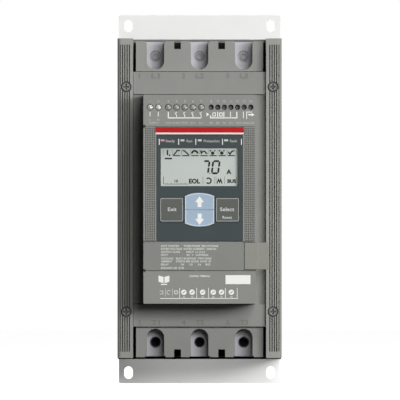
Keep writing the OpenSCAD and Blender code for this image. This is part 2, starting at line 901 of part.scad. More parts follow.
// Hexagon nuts behind the terminal holes
module terminal_nuts() {
    d1 = d_bar - bar_t / 2;
    color([0.62, 0.62, 0.63]) for (x = poles, s = [-1, 1])
        difference() {
            out(d1 - nut_t, d1) translate([x, s * terminal_z]) circle(nut_flats / sqrt(3), $fn = 6);
            peg(x, s * terminal_z, thread_r, d1 - nut_t - cut, d1 + cut);
        }
}

// Insulator behind the busbars: a hollow post for each terminal nut, its bolt slot open outwards
module terminal_carrier(s) {
    half = column_in - 2 * seam;
    post = nut_post_w / 2;
    d1 = d_bar - bar_t / 2;
    d_nut = d1 - nut_t;
    d_slot = d_nut - bolt_room;
    color([0.10, 0.10, 0.105]) mirror([0, 0, s < 0 ? 1 : 0]) difference() {
        union() {
            block([-half, half], [d_base, d_base + carrier_wall], [face_half, bar_end]);
            for (x = poles)
                block([x - post, x + post], [d_base, d1], [face_half, bar_end]);
        }
        for (x = poles)
            translate([x, 0, 0]) {
                block([-post + carrier_wall, post - carrier_wall], [d_base - cut, d_slot - carrier_wall],
                    [face_half + carrier_wall, bar_end - carrier_wall]);
                out(d_nut, d1 + cut)
                    translate([0, terminal_z]) circle(nut_flats / sqrt(3) + nut_clear, $fn = 6);
                block([-bolt_slot_w / 2, bolt_slot_w / 2], [d_slot, d_nut + cut],
                    [terminal_z - bolt_slot_w / 2, bar_end + cut]);
            }
    }
}

// Ring core in a moulded case that a load busbar passes through
module current_transformer(x) {
    color([0.16, 0.22, 0.34]) rise(-ct_z - ct_h / 2, -ct_z + ct_h / 2)
        translate([x, d_bar]) difference() {
            round_area(ct_w, ct_t, ct_r);
            square([bar_w + 2 * bar_clear, bar_t + 2 * bar_clear], center = true);
        }
}

// Corners of the power board where its screws pass
module board_screw_places() {
    for (x = [-1, 1], z = [-1, 1])
        translate([x * (power_board_w / 2 - board_screw_in), 0, z * (power_board_h / 2 - board_screw_in)])
            children();
}

// Firing board with its capacitors, drive transformers and cable header
module power_board() {
    front = d_power_board + board_t;
    color([0.10, 0.30, 0.18]) {
        difference() {
            out(d_power_board, front) square([power_board_w, power_board_h], center = true);
            board_screw_places() peg(0, 0, board_screw_r, d_power_board - cut, front + cut);
        }
        for (x = outer_poles, z = drive_zs)
            block([x * drive_share - drive_half, x * drive_share + drive_half],
                [d_power_board - drive_t, d_power_board], [z - drive_half, z + drive_half]);
        for (x = outer_poles, z = [-1, 1])
            peg(x + capacitor_r, z * capacitor_z, capacitor_r, d_power_board - capacitor_t, d_power_board);
        cable_header(front, front + connector_t);
    }
}

// Plug of the flat cable between two depths
module cable_header(d0, d1) {
    block([-ribbon_w / 2 - header_side, ribbon_w / 2 + header_side], [d0, d1],
        [ribbon_z - header_h / 2, ribbon_z + header_h / 2]);
}

// Opening round the flat cable between two depths
module cable_opening(d0, d1) {
    block([-ribbon_w / 2 - ribbon_room, ribbon_w / 2 + ribbon_room], [d0, d1],
        [ribbon_z - header_h / 2 - ribbon_room, ribbon_z + header_h / 2 + ribbon_room]);
}

// Flat cable between the firing board and the control board
module ribbon_cable() {
    color([0.55, 0.56, 0.58])
        block([-ribbon_w / 2, ribbon_w / 2],
            [d_power_board + board_t + connector_t, d_control - connector_t],
            [ribbon_z - ribbon_t / 2, ribbon_z + ribbon_t / 2]);
}

// Plan of the right column with a round outer front edge
module column_plan() {
    area([column_in, half_w], [d_base, d_column - column_r]);
    area([column_in, half_w - column_r], [d_base, d_column]);
    translate([half_w - column_r, d_column - column_r]) circle(column_r);
}

// Hollow side cover whose front is a grooved column; s is 1 at the right, -1 at the left
module side_cover(s) {
    first = column_in + (column_w - (groove_count - 1) * groove_pitch) / 2 + groove_shift;
    color([0.50, 0.50, 0.485]) mirror([s < 0 ? 1 : 0, 0, 0]) difference() {
        union() {
            difference() {
                rise(body_bottom, body_top) column_plan();
                block([column_in + wall_t, half_w - wall_t], [d_base - cut, d_column - column_skin],
                    [body_bottom + wall_t, body_top - wall_t]);
            }
            for (z = [-screw_z, screw_z])
                intersection() {
                    peg(screw_x, z, post_r, d_base, d_column - cut);
                    block([column_in + cut, half_w - cut], [d_base, d_column], [z - post_r, z + post_r]);
                }
        }
        for (i = [0:groove_count - 1])
            translate([first + i * groove_pitch, 0, 0])
                block([-groove_w / 2, groove_w / 2], [d_column - groove_depth, d_column + cut],
                    [body_bottom + groove_margin, body_top - groove_margin]);
        for (z = [-screw_z, screw_z]) {
            peg(screw_x, z, screw_shank_r + screw_clear, d_base - cut, d_column);
            peg(screw_x, z, head_hole_r, d_column - head_sink - screw_head_t, d_column + cut);
        }
    }
}

// Long screws with cross-recess pan heads
module housing_screws() {
    d1 = d_column - head_sink;
    color([0.33, 0.33, 0.35]) housing_screw_places() difference() {
        union() {
            peg(0, 0, screw_head_r, d1 - screw_head_t, d1);
            peg(0, 0, screw_shank_r, d_sink - thread_len, d1 - screw_head_t + cut);
        }
        for (a = [0, 90])
            rotate([0, a, 0])
                block([-cross_len / 2, cross_len / 2], [d1 - cross_depth, d1 + cut],
                    [-cross_w / 2, cross_w / 2]);
    }
}

// Front face with the module pocket, end walls to the terminal rooms and board posts
module front_housing() {
    side = column_in - seam;
    slot_x = bar_w / 2 + bar_clear;
    slot_d = bar_t / 2 + bar_clear;
    color([0.56, 0.565, 0.55]) difference() {
        union() {
            block([-side, side], [d_panel, d_face], [-face_half, face_half]);
            for (z = [-face_half, face_half - end_wall_t])
                block([-side, side], [d_base, d_panel + cut], [z, z + end_wall_t]);
            board_screw_places() peg(0, 0, power_post_r, d_power_board + board_t, d_panel + cut);
        }
        block([-half_w, half_w], [d_seat, d_face + cut], [-pocket_h / 2, pocket_h / 2]);
        cable_opening(d_panel - cut, d_face);
        for (x = poles)
            translate([x, 0, 0]) block([-slot_x, slot_x], [d_bar - slot_d, d_bar + slot_d],
                [-body_top, body_top]);
    }
}

// Cable recess: round inner end, open outwards, flared at the mouth
module recess_area() {
    r = recess_w / 2;
    z = face_half + recess_end + r;
    translate([0, z]) circle(r);
    area([-r, r], [z, body_top]);
    area([-r - flare, r + flare], [shroud_outer - flare, body_top]);
}

// Moulded plate with cable recesses, barrier slots and hollow pockets behind
module terminal_shroud(s) {
    back = d_bar + bar_t / 2 + shroud_clear;
    pocket_in = recess_w / 2 + shroud_wall;
    notch_in = shroud_outer - notch_h;
    pockets = [
        [-shroud_w / 2 + shroud_wall, -pole_pitch - pocket_in],
        [-pole_pitch + pocket_in, -pocket_in],
        [pocket_in, pole_pitch - pocket_in],
        [pole_pitch + pocket_in, shroud_w / 2 - shroud_wall]
    ];
    color([0.58, 0.585, 0.565]) mirror([0, 0, s < 0 ? 1 : 0]) difference() {
        block([-shroud_w / 2, shroud_w / 2], [back, d_shroud], [shroud_inner, shroud_outer]);
        out(back - cut, d_shroud + cut) {
            for (x = poles)
                translate([x, 0]) recess_area();
            for (x = [-pole_pitch / 2, pole_pitch / 2])
                translate([x, 0]) area([-notch_w / 2, notch_w / 2], [notch_in, body_top]);
        }
        for (p = pockets)
            block(p, [back - cut, d_shroud - shroud_skin],
                [shroud_inner + shroud_wall, notch_in - shroud_wall]);
    }
}

// Outline of the keypad module between two heights
module module_area(z0, z1) {
    translate([0, (z0 + z1) / 2]) round_area(module_w, z1 - z0, module_r);
}

// Deep box that stands in the pocket, with board posts and wire openings at the top
module module_case() {
    inside = module_top - module_wall;
    color([0.55, 0.555, 0.54]) {
        difference() {
            out(d_seat, d_split) module_area(-module_top, module_top);
            block([-inner_w / 2, inner_w / 2], [d_seat + module_wall, d_split + cut], [-inside, inside]);
            cable_opening(d_seat - cut, d_seat + module_wall + cut);
            for (group = [[supply_xs, big_side], [input_xs, big_side], [relay_xs, small_side]])
                block([group[0][0] - group[1], group[0][len(group[0]) - 1] + group[1]],
                    [block_back + wire_sill, d_split - cut], [inside - cut, module_top + cut]);
        }
        for (x = [-1, 1], z = [-1, 1])
            peg(x * (inner_w / 2 - board_post_in), z * (inside - board_post_end), board_post_r,
                d_seat + module_wall - cut, d_control);
    }
}

// Main board of the keypad module with its supply parts and cable header
module control_board() {
    h = module_h - 2 * module_wall - 2 * board_clear;
    front = d_control + board_t;
    color([0.09, 0.28, 0.17]) {
        out(d_control, front) square([inner_w - 2 * board_clear, h], center = true);
        cable_header(d_control - connector_t, d_control);
        block([supply_part_x - supply_part / 2, supply_part_x + supply_part / 2],
            [d_control - supply_part_t, d_control],
            [supply_part_z - supply_part / 2, supply_part_z + supply_part / 2]);
        for (i = [1, 2])
            peg(supply_part_x + supply_part / 2 + i * capacitor_pitch, supply_part_z, capacitor_r,
                d_control - capacitor_t, d_control);
        for (s = [-1, 1])
            block([s * chip_side - chip_side / 2, s * chip_side + chip_side / 2], [front, front + chip_t],
                [-chip_side / 2, chip_side / 2]);
    }
}

// Row of clamp cells with screw wells in front and wire entries above
module terminal_block(xs, side, screw_r) {
    z0 = control_z - block_h / 2;
    z1 = control_z + block_h / 2;
    d_wire = block_back + wire_back;
    color([0.30, 0.31, 0.30]) difference() {
        block([xs[0] - side, xs[len(xs) - 1] + side], [block_back, block_front], [z0, z1]);
        for (x = xs) {
            peg(x, control_z, screw_r + screw_clear / 2, block_front - well_t, block_front + cut);
            block([x - wire_side / 2, x + wire_side / 2], [d_wire, d_wire + wire_side],
                [z1 - wire_depth, z1 + cut]);
        }
    }
}

// Slotted screws: large ones just under the cover, small ones deep in their wells
module control_terminal_screws() {
    color([0.80, 0.80, 0.79]) {
        for (x = concat(supply_xs, input_xs))
            slotted_screw(x, big_screw_r, block_front - well_t, d_cover - big_screw_sink, slot_turn);
        for (x = relay_xs)
            slotted_screw(x, small_screw_r, block_front - well_t, block_front - small_screw_sink, 0);
    }
}

module slotted_screw(x, r, d0, d1, turn) {
    difference() {
        peg(x, control_z, r, d0, d1);
        translate([x, 0, control_z]) rotate([0, turn, 0])
            block([-r - cut, r + cut], [d1 - screw_slot_d, d1 + cut],
                [-screw_slot_w / 2, screw_slot_w / 2]);
    }
}

// Front cover with a skirt, open at the back; sides lists the skirt at the top and the bottom
module cover_shell(z0, z1, d1, sides) {
    difference() {
        out(d_split, d1) module_area(z0, z1);
        block([-inner_w / 2, inner_w / 2], [d_split - cut, d1 - module_wall],
            [z0 + sides[1] * module_wall, z1 - sides[0] * module_wall]);
    }
}

// Notch at the module's left edge where a cover is pried open
module pry_notch(z) {
    block([-half_m - cut, -half_m + pry_w], [d_cover - pry_depth, d_front + cut],
        [z - pry_h / 2, z + pry_h / 2]);
}

module upper_cover() {
    color([0.555, 0.56, 0.545]) difference() {
        cover_shell(z_upper, module_top, d_cover, [1, 0]);
        for (x = concat(supply_xs, input_xs))
            peg(x, control_z, big_screw_r + cover_screw_clear, d_split, d_cover + cut);
        for (x = relay_xs)
            peg(x, control_z, small_well_r, d_split, d_cover + cut);
        pry_notch(z_upper);
    }
}

// Frame of the keypad: panel recess, strip recess and the ledge with its windows
module keypad_bezel() {
    z0 = z_bezel + cover_seam;
    z1 = z_upper - cover_seam;
    pad = pad_w / 2 + pad_clear;
    strip_x = strip_w / 2 + pad_clear;
    strip_z = pad_top + strip_gap;
    glass_x = lcd_w / 2 + lens_lip + lens_window_clear;
    glass_z = lcd_h / 2 + lens_lip + lens_window_clear;
    key_x = pad_w / 2 - window_side;
    keys_z = arrow_h / 2 + flange_lip + key_clear;
    color([0.54, 0.545, 0.53]) {
        difference() {
            out(d_split, d_front) module_area(z0, z1);
            block([-inner_w / 2, inner_w / 2], [d_split - cut, d_inside],
                [z0 + module_wall, z1 - module_wall]);
            block([-pad, pad], [d_ledge, d_front + cut], [z0 - cut, pad_top + pad_clear]);
            block([-strip_x, strip_x], [d_ledge + strip_floor, d_front + cut],
                [strip_z - pad_clear, strip_z + strip_h + pad_clear]);
            block([-glass_x, glass_x], [d_inside - cut, d_ledge + cut], [lcd_z - glass_z, lcd_z + glass_z]);
            block([-key_x, key_x], [d_inside - cut, d_ledge + cut], [key_z - keys_z, key_z + keys_z]);
            block([-key_x + lamp_window_in, key_x - lamp_window_in], [d_inside - cut, d_ledge + cut],
                [lamp_z - lamp_h, lamp_z + lamp_h]);
            pry_notch(z_upper);
        }
        for (x = [-1, 1], z = [z0 + bezel_post_end, z1 - bezel_post_end])
            peg(x * (inner_w / 2 - bezel_post_in), z, bezel_post_r,
                d_display_board + board_t, d_inside + cut);
    }
}

// Plain panel that carries the rating print, cut away for the bus port
module label_panel() {
    color([0.50, 0.505, 0.49]) difference() {
        cover_shell(z_label + cover_seam / 2, z_bezel, d_label, [0, 0]);
        block([cap_left - cap_clear, half_m + cut], [d_split + port_floor, d_front],
            [port_z - port_room / 2, port_z + port_room / 2]);
        pry_notch(z_label);
    }
}

module lower_cover() {
    color([0.555, 0.56, 0.545]) difference() {
        cover_shell(-module_top, z_label - cover_seam / 2, d_cover, [0, 1]);
        pry_notch(z_label);
    }
}

module color_strip() {
    z0 = pad_top + strip_gap;
    color([0.62, 0.09, 0.10])
        out(d_ledge + strip_floor, d_front) area([-strip_w / 2, strip_w / 2], [z0, z0 + strip_h]);
}

// Outline of both arrow keys: straight sides between bowed ends, grown by a margin
module arrow_area(grow) {
    bow_r = (arrow_w * arrow_w / 4 + arrow_bow * arrow_bow) / (2 * arrow_bow);
    intersection() {
        square([arrow_w + 2 * grow, arrow_h + 2 * grow], center = true);
        translate([0, arrow_h / 2 - bow_r]) circle(bow_r + grow, $fn = 128);
        translate([0, bow_r - arrow_h / 2]) circle(bow_r + grow, $fn = 128);
    }
}

// Thin panel with openings for the lamps, the window pane and the keys
module keypad_panel() {
    hole = 2 * key_clear;
    color([0.30, 0.33, 0.34]) out(d_ledge, d_pad) difference() {
        area([-pad_w / 2, pad_w / 2], [pad_bottom, pad_top]);
        translate([0, lcd_z]) square([lcd_w, lcd_h], center = true);
        for (x = lamp_xs)
            translate([x, lamp_z])
                square([lamp_w + 2 * lamp_clear, lamp_h + 2 * lamp_clear], center = true);
        for (s = [-1, 1])
            translate([s * side_key_x, key_z]) round_area(key_w + hole, key_h + hole, key_r);
        translate([0, key_z]) arrow_area(key_clear);
    }
}

// Board behind the keypad, seated on the bezel's posts
module display_board() {
    w = inner_w - 2 * board_clear;
    z0 = z_bezel + cover_seam + module_wall + board_clear;
    z1 = z_upper - cover_seam - module_wall - board_clear;
    color([0.09, 0.30, 0.18])
        out(d_display_board, d_display_board + board_t) area([-w / 2, w / 2], [z0, z1]);
}

module lcd_backlight() {
    d0 = d_display_board + board_t;
    color([0.92, 0.93, 0.88]) out(d0, d0 + backlight_t) translate([0, lcd_z])
        square([lcd_w + 2 * backlight_border, lcd_h + 2 * backlight_border], center = true);
}

// Two glass plates, the rear one standing out below for its contacts
module lcd_module() {
    d0 = d_display_board + board_t + backlight_t;
    d_mid = (d0 + d_inside) / 2;
    w = lcd_w + 2 * glass_border;
    h = lcd_h + 2 * glass_border;
    color([0.76, 0.79, 0.76]) translate([0, 0, lcd_z]) {
        out(d0, d_mid) square([w, h + contact_edge], center = true);
        out(d_mid, d_inside) translate([0, contact_edge / 2]) square([w, h], center = true);
    }
}

// Clear pane that fills the panel's opening and is held by a lip behind it
module display_lens() {
    d0 = d_inside + lens_gap;
    color([0.85, 0.88, 0.88, 0.4]) translate([0, 0, lcd_z]) {
        out(d0, d_ledge) square([lcd_w + 2 * lens_lip, lcd_h + 2 * lens_lip], center = true);
        out(d0, d_pad - pane_sink) square([lcd_w - 2 * pane_clear, lcd_h - 2 * pane_clear], center = true);
    }
}

// Rubber mat with a dome under each key
module keypad_mat() {
    d0 = d_display_board + board_t;
    d1 = d0 + mat_t;
    color([0.62, 0.62, 0.60]) {
        out(d0, d1) translate([0, key_z]) square([pad_w - 2 * mat_side, arrow_h + mat_over], center = true);
        for (p = [[-side_key_x, 0], [side_key_x, 0], [0, arrow_h / 4], [0, -arrow_h / 4]])
            translate([p[0], -d1 + cut, key_z + p[1]]) rotate([90, 0, 0])
                cylinder(r1 = dome_r, r2 = dome_top_r, h = dome_top - d1 + cut);
    }
}

// Exit or select key: cap through the panel, flange behind it
module side_key(x) {
    translate([x, 0, key_z]) {
        out(flange_back, flange_front)
            square([key_w - 2 * flange_side_in, key_h + 2 * flange_lip], center = true);
        out(flange_back, d_pad + key_rise) round_area(key_w, key_h, key_r);
    }
}

// Upper or lower arrow key; s is 1 for up, -1 for down
module arrow_key(s) {
    half_gap = key_clear * 2 / 3;
    translate([0, 0, key_z]) mirror([0, 0, s < 0 ? 1 : 0]) {
        out(flange_back, d_pad + key_rise) intersection() {
            arrow_area(0);
            area([-arrow_w, arrow_w], [half_gap, arrow_h]);
        }
        out(flange_back, flange_front)
            area([-arrow_w / 2 + arrow_flange_in, arrow_w / 2 - arrow_flange_in],
                [half_gap, arrow_h / 2 + flange_lip]);
    }
}

module exit_key() { color([0.40, 0.41, 0.40]) side_key(-side_key_x); }
module select_key() { color([0.40, 0.41, 0.40]) side_key(side_key_x); }
module up_key() { color([0.65, 0.73, 0.81]) arrow_key(1); }
module down_key() { color([0.65, 0.73, 0.81]) arrow_key(-1); }

// Light guides from the display board to the panel's front
module status_lamps() {
    color([0.80, 0.85, 0.70]) for (x = lamp_xs)
        out(d_display_board + board_t, d_pad)
            translate([x, lamp_z]) square([lamp_w, lamp_h], center = true);
}

// Socket with contact pins on the control board
module bus_socket() {
    x = [socket_x - socket_w / 2, socket_x + socket_w / 2];
    z = [port_z - socket_h / 2, port_z + socket_h / 2];
    color([0.12, 0.12, 0.13]) {
        difference() {
            block(x, [block_back, socket_front], z);
            block([x[0] + socket_wall, x[1] - socket_wall],
                [socket_front - socket_hollow, socket_front + cut],
                [z[0] + socket_wall, z[1] - socket_wall]);
        }
        for (i = [-2:2])
            peg(socket_x, port_z + i * pin_pitch, pin_r, socket_front - socket_hollow - cut,
                socket_front - socket_hollow + pin_len);
    }
}

// Pull-off cover: flat cap over the socket and a hollow tab past the module's side
module bus_port_cover() {
    z = [port_z - cap_h / 2, port_z + cap_h / 2];
    tab = [half_m + cap_clear, half_m + cap_clear + tab_w];
    d_tab = d_front - tab_drop;
    color([0.57, 0.57, 0.54]) {
        block([cap_left, tab[0] + cut], [d_front - cap_t, d_front], z);
        difference() {
            block(tab, [d_tab - tab_t, d_tab], z);
            block([tab[0] + tab_wall, tab[1] - tab_wall], [d_tab - tab_t - cut, d_tab - tab_skin],
                [z[0] + tab_wall, z[1] - tab_wall]);
        }
    }
}

mounting_plate();
plate_screws();
rear_housing();
heat_sink();
fan_tray();
fan_frame(-1);  // fan_frame_left
fan_frame(1);  // fan_frame_right
fan_rotor(-1);  // fan_rotor_left
fan_rotor(1);  // fan_rotor_right
outlet_grille();
thyristor(-pole_pitch);  // thyristor_left
thyristor(pole_pitch);  // thyristor_right
bypass_relay(-pole_pitch);  // bypass_relay_left
bypass_relay(pole_pitch);  // bypass_relay_right
outer_busbar(-pole_pitch, 1);  // line_busbar_left
outer_busbar(pole_pitch, 1);  // line_busbar_right
outer_busbar(-pole_pitch, -1);  // load_busbar_left
outer_busbar(pole_pitch, -1);  // load_busbar_right
center_busbar();
terminal_nuts();
terminal_carrier(1);  // line_terminal_carrier
terminal_carrier(-1);  // load_terminal_carrier
current_transformer(-pole_pitch);  // current_transformer_left
current_transformer(0);  // current_transformer_middle
current_transformer(pole_pitch);  // current_transformer_right
power_board();
ribbon_cable();
side_cover(-1);  // side_cover_left
side_cover(1);  // side_cover_right
front_housing();
terminal_shroud(1);  // line_terminal_shroud
terminal_shroud(-1);  // load_terminal_shroud
housing_screws();
module_case();
control_board();
terminal_block(supply_xs, big_side, big_screw_r);  // supply_terminal_block
terminal_block(input_xs, big_side, big_screw_r);  // input_terminal_block
terminal_block(relay_xs, small_side, small_screw_r);  // relay_terminal_block
control_terminal_screws();
upper_cover();
keypad_bezel();
label_panel();
lower_cover();
color_strip();
keypad_panel();
display_board();
lcd_backlight();
lcd_module();
display_lens();
keypad_mat();
exit_key();
up_key();
down_key();
select_key();
status_lamps();
bus_socket();
bus_port_cover();
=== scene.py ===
import json
import math

import bpy
import numpy as np
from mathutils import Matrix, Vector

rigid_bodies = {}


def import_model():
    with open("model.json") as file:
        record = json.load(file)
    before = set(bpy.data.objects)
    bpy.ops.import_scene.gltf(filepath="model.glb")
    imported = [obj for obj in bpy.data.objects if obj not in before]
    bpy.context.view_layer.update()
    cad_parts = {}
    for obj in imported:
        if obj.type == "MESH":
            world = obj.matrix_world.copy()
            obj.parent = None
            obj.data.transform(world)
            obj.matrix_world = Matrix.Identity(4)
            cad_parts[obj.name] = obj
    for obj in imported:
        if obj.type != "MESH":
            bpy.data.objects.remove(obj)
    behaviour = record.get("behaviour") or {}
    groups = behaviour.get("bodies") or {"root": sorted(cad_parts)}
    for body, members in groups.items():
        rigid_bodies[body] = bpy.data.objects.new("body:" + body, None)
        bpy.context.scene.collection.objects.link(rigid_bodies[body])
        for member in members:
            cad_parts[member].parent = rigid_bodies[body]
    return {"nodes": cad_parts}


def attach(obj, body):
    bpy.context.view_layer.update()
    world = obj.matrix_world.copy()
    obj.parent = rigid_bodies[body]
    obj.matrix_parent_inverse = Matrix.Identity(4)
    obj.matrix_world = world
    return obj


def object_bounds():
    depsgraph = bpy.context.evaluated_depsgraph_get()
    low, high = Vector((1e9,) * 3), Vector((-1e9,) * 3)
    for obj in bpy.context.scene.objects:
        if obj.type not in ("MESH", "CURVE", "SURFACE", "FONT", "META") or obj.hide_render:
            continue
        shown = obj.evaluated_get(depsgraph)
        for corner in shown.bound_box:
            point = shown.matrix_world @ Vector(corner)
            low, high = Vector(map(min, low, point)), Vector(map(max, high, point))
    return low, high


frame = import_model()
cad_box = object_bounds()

MM = 0.001

# Sizes and places are in millimetres, from the wall and from the middle of the front
# Depths of the faces that carry print: housing, display, covers, label panel, keypad panel, bezel with keys
FACE = 182.0
LCD = 231.0
COVER = 234.0
LABEL = 234.4
PANEL = 234.4
FRONT = 235.0
# Thickness of ink, its seat below a face, and the height of a capital at font size 1
INK = 0.05
SEAT = 0.03
CAPITAL = 0.682
# Middle depth and half the depth of the column grooves; middle and half the width of their field, where their
# bottoms get painted shade
GROOVE_DEPTH = (184.3, 1.6)
GROOVE_FIELD = (58.2, 4.2)
# Housing screws: depth where the drive recess gets painted shade, axis across and up, radius where the
# painted shade round the rim starts
DRIVE_DEPTH = 185.2
DRIVE_AXIS = (58.1, 89.0)
DRIVE_RIM = 2.75
# Terminals: poles across, front of the bars, height of the line-side holes, radius and length of an insert
POLE_X = (-35.0, 0.0, 35.0)
BAR_FACE = 152.0
TERMINAL_Z = 113.5
HOLE_R = 4.2
INSERT_LENGTH = 2.2
# Control screws: places across
SUPPLY_X = -39.08 + 6.5 * np.arange(2)
INPUT_X = -24.68 + 6.5 * np.arange(5)
RELAY_X = 9.2 + 5.2 * np.arange(7)
# Large control screws: front, height, radius, rise of the dome; turn, half width and depth of the slot
SCREW_FACE = 233.1
SCREW_Z = 72.6
SCREW_R = 2.25
SCREW_RISE = 0.6
SCREW_SLOT = (math.radians(35), 0.32, 0.45)
# Line on the colour strip: left, right, lower and upper edge
STRIP_LINE = (-34.75, 34.75, 51.25, 52.6)
# Place along X between the first lamp and the others
LAMP_SPLIT = -20.0
# Left edges of the icon fields on the display
ICON_X = -28.3 + 7.2 * np.arange(9)
# Lower and upper edge of the display's status row
STATUS_LOW = 12.0
STATUS_TOP = 18.0
# Side keys: height, places across, half sizes, corner radius and border
KEY_Z = -8.3
SIDE_KEY_X = 22.05
SIDE_KEY_HALF = (9.0, 9.2)
SIDE_KEY_CORNER = 1.0
SIDE_KEY_BORDER = 0.6
# Arrow keys: half sizes of the pair, bow of the ends, half the gap; inset and width of the border
ARROW_KEYS_HALF = (11.6, 13.25)
ARROW_KEY_BOW = 2.4
ARROW_KEY_SPLIT = 0.35
ARROW_BORDER_INSET = 0.55
ARROW_BORDER = 0.7
# Web between the arrow keys: half sizes, seat and rise
WEB_HALF = (11.4, 0.1)
WEB_SEAT = 233.6
WEB_RISE = 1.2
# Tool signs of the lower cover: places across, height, and height of the line under them
TOOL_X = (-12.4, -5.9, 2.4, 10.8, 17.3, 25.1)
TOOL_Z = -73.4
TOOL_LINE_Z = -78.3
# Grip fields: first columns, first row, pitch, radius and rise of a dot
GRIP_X = (-42.6, 35.9)
GRIP_Z = -32.4
GRIP_PITCH = 1.4
GRIP_R = 0.5
GRIP_RISE = 0.22
# Aims of the lights, in metres: the middle of the object and its back
MIDDLE = (0, -0.15, 0)
BACK = (0, -0.1, 0)


def screen(r, g, b):
    """Linear colour for a colour as it looks on a screen, 0 to 255."""
    c = np.array([r, g, b]) / 255
    linear = np.where(c <= 0.04045, c / 12.92, ((c + 0.055) / 1.055) ** 2.4)
    return (*linear.tolist(), 1.0)


def new_group(name, inputs, outputs):
    """Empty shader group with its sockets; returns the tree, its input node and its output node."""
    tree = bpy.data.node_groups.new(name, "ShaderNodeTree")
    for label, kind, value in inputs:
        tree.interface.new_socket(name=label, in_out="INPUT", socket_type=kind).default_value = value
    for label, kind in outputs:
        tree.interface.new_socket(name=label, in_out="OUTPUT", socket_type=kind)
    return tree, tree.nodes.new("NodeGroupInput"), tree.nodes.new("NodeGroupOutput")


def add(tree, kind, links=None, **settings):
    """New node: settings are its own properties, links feed its sockets from other sockets or with values."""
    node = tree.nodes.new(kind)
    for key, value in settings.items():
        setattr(node, key, value)
    for key, value in (links or {}).items():
        socket = node.inputs[key]
        if isinstance(value, bpy.types.NodeSocket):
            tree.links.new(value, socket)
        else:
            socket.default_value = value
    return node


def noise(tree, where, scale, detail=2.0, roughness=0.5):
    """Value of a noise field, about 0.5, over the given coordinates."""
    return add(tree, "ShaderNodeTexNoise",
               {"Vector": where, "Scale": scale, "Detail": detail, "Roughness": roughness}).outputs["Fac"]


def reckon(tree, operation, *values):
    """Result of a math node on one to three values."""
    return add(tree, "ShaderNodeMath", dict(enumerate(values)), operation=operation).outputs[0]


def spread(tree, value, low, high, start=0.3, end=0.7):
    """Value moved from start..end to low..high."""
    return add(tree, "ShaderNodeMapRange",
               {"Value": value, "From Min": start, "From Max": end,
                "To Min": low, "To Max": high}).outputs["Result"]


def tint(tree, color, value):
    """Colour or vector times a value or another vector."""
    return add(tree, "ShaderNodeVectorMath", {0: color, 1: value}, operation="MULTIPLY").outputs["Vector"]


def finish_inputs(roughness, relief, amount):
    """Sockets that a finish takes: colour, roughness and the strength of its relief."""
    return [("Color", "NodeSocketColor", (0.5, 0.5, 0.5, 1)), ("Roughness", "NodeSocketFloat", roughness),
            (relief, "NodeSocketFloat", amount)]


# Level to which painted shade takes a colour down
SHADE_INPUT = ("Shade", "NodeSocketFloat", 0.3)
FINISH_OUTPUTS = [("Color", "NodeSocketColor"), ("Roughness", "NodeSocketFloat"),
                  ("Normal", "NodeSocketVector")]


def moulded_group():
    """Moulded plastic: fine eroded grain, slow drifts of tone and patches of gloss."""
    tree, given, out = new_group("moulded plastic", finish_inputs(0.5, "Grain", 0.25), FINISH_OUTPUTS)
    where = add(tree, "ShaderNodeTexCoord").outputs["Object"]
    fine = noise(tree, where, 2600.0, 3.0, 0.6)
    slow = noise(tree, where, 22.0, 3.0)
    patch = noise(tree, where, 140.0)
    tone = reckon(tree, "MULTIPLY", spread(tree, slow, 0.965, 1.035), spread(tree, fine, 0.975, 1.025))
    gloss = reckon(tree, "ADD", given.outputs["Roughness"], spread(tree, patch, -0.05, 0.05))
    bump = add(tree, "ShaderNodeBump",
               {"Height": fine, "Strength": given.outputs["Grain"], "Distance": 0.00006})
    tree.links.new(tint(tree, given.outputs["Color"], tone), out.inputs["Color"])
    tree.links.new(gloss, out.inputs["Roughness"])
    tree.links.new(bump.outputs["Normal"], out.inputs["Normal"])
    return tree


def drawn_group():
    """Drawn or rolled metal: long fine lines along Z, cloudy tone and uneven gloss."""
    tree, given, out = new_group("drawn metal", finish_inputs(0.4, "Lines", 0.2), FINISH_OUTPUTS)
    where = add(tree, "ShaderNodeTexCoord").outputs["Object"]
    across, along_z = 3200.0, 60.0
    stretch = {"Vector": where, "Scale": (across, across, along_z)}
    along = add(tree, "ShaderNodeMapping", stretch).outputs["Vector"]
    lines = noise(tree, along, 1.0, 3.0, 0.6)
    cloud = noise(tree, where, 60.0, 4.0, 0.6)
    tone = reckon(tree, "MULTIPLY", spread(tree, lines, 0.95, 1.05), spread(tree, cloud, 0.95, 1.05))
    gloss = reckon(tree, "ADD", given.outputs["Roughness"], spread(tree, cloud, -0.08, 0.08))
    bump = add(tree, "ShaderNodeBump",
               {"Height": lines, "Strength": given.outputs["Lines"], "Distance": 0.00003})
    tree.links.new(tint(tree, given.outputs["Color"], tone), out.inputs["Color"])
    tree.links.new(gloss, out.inputs["Roughness"])
    tree.links.new(bump.outputs["Normal"], out.inputs["Normal"])
    return tree


def ink_group():
    """Screen-printed ink: slightly mottled and a little thinner here and there."""
    tree, given, out = new_group(
        "printed ink",
        [("Color", "NodeSocketColor", (0.8, 0.8, 0.8, 1)), ("Roughness", "NodeSocketFloat", 0.5)],
        [("Color", "NodeSocketColor"), ("Roughness", "NodeSocketFloat")])
    where = add(tree, "ShaderNodeTexCoord").outputs["Object"]
    mottle = noise(tree, where, 1500.0)
    tree.links.new(tint(tree, given.outputs["Color"], spread(tree, mottle, 0.93, 1.04)), out.inputs["Color"])
    gloss = reckon(tree, "ADD", given.outputs["Roughness"], spread(tree, mottle, -0.06, 0.06))
    tree.links.new(gloss, out.inputs["Roughness"])
    return tree


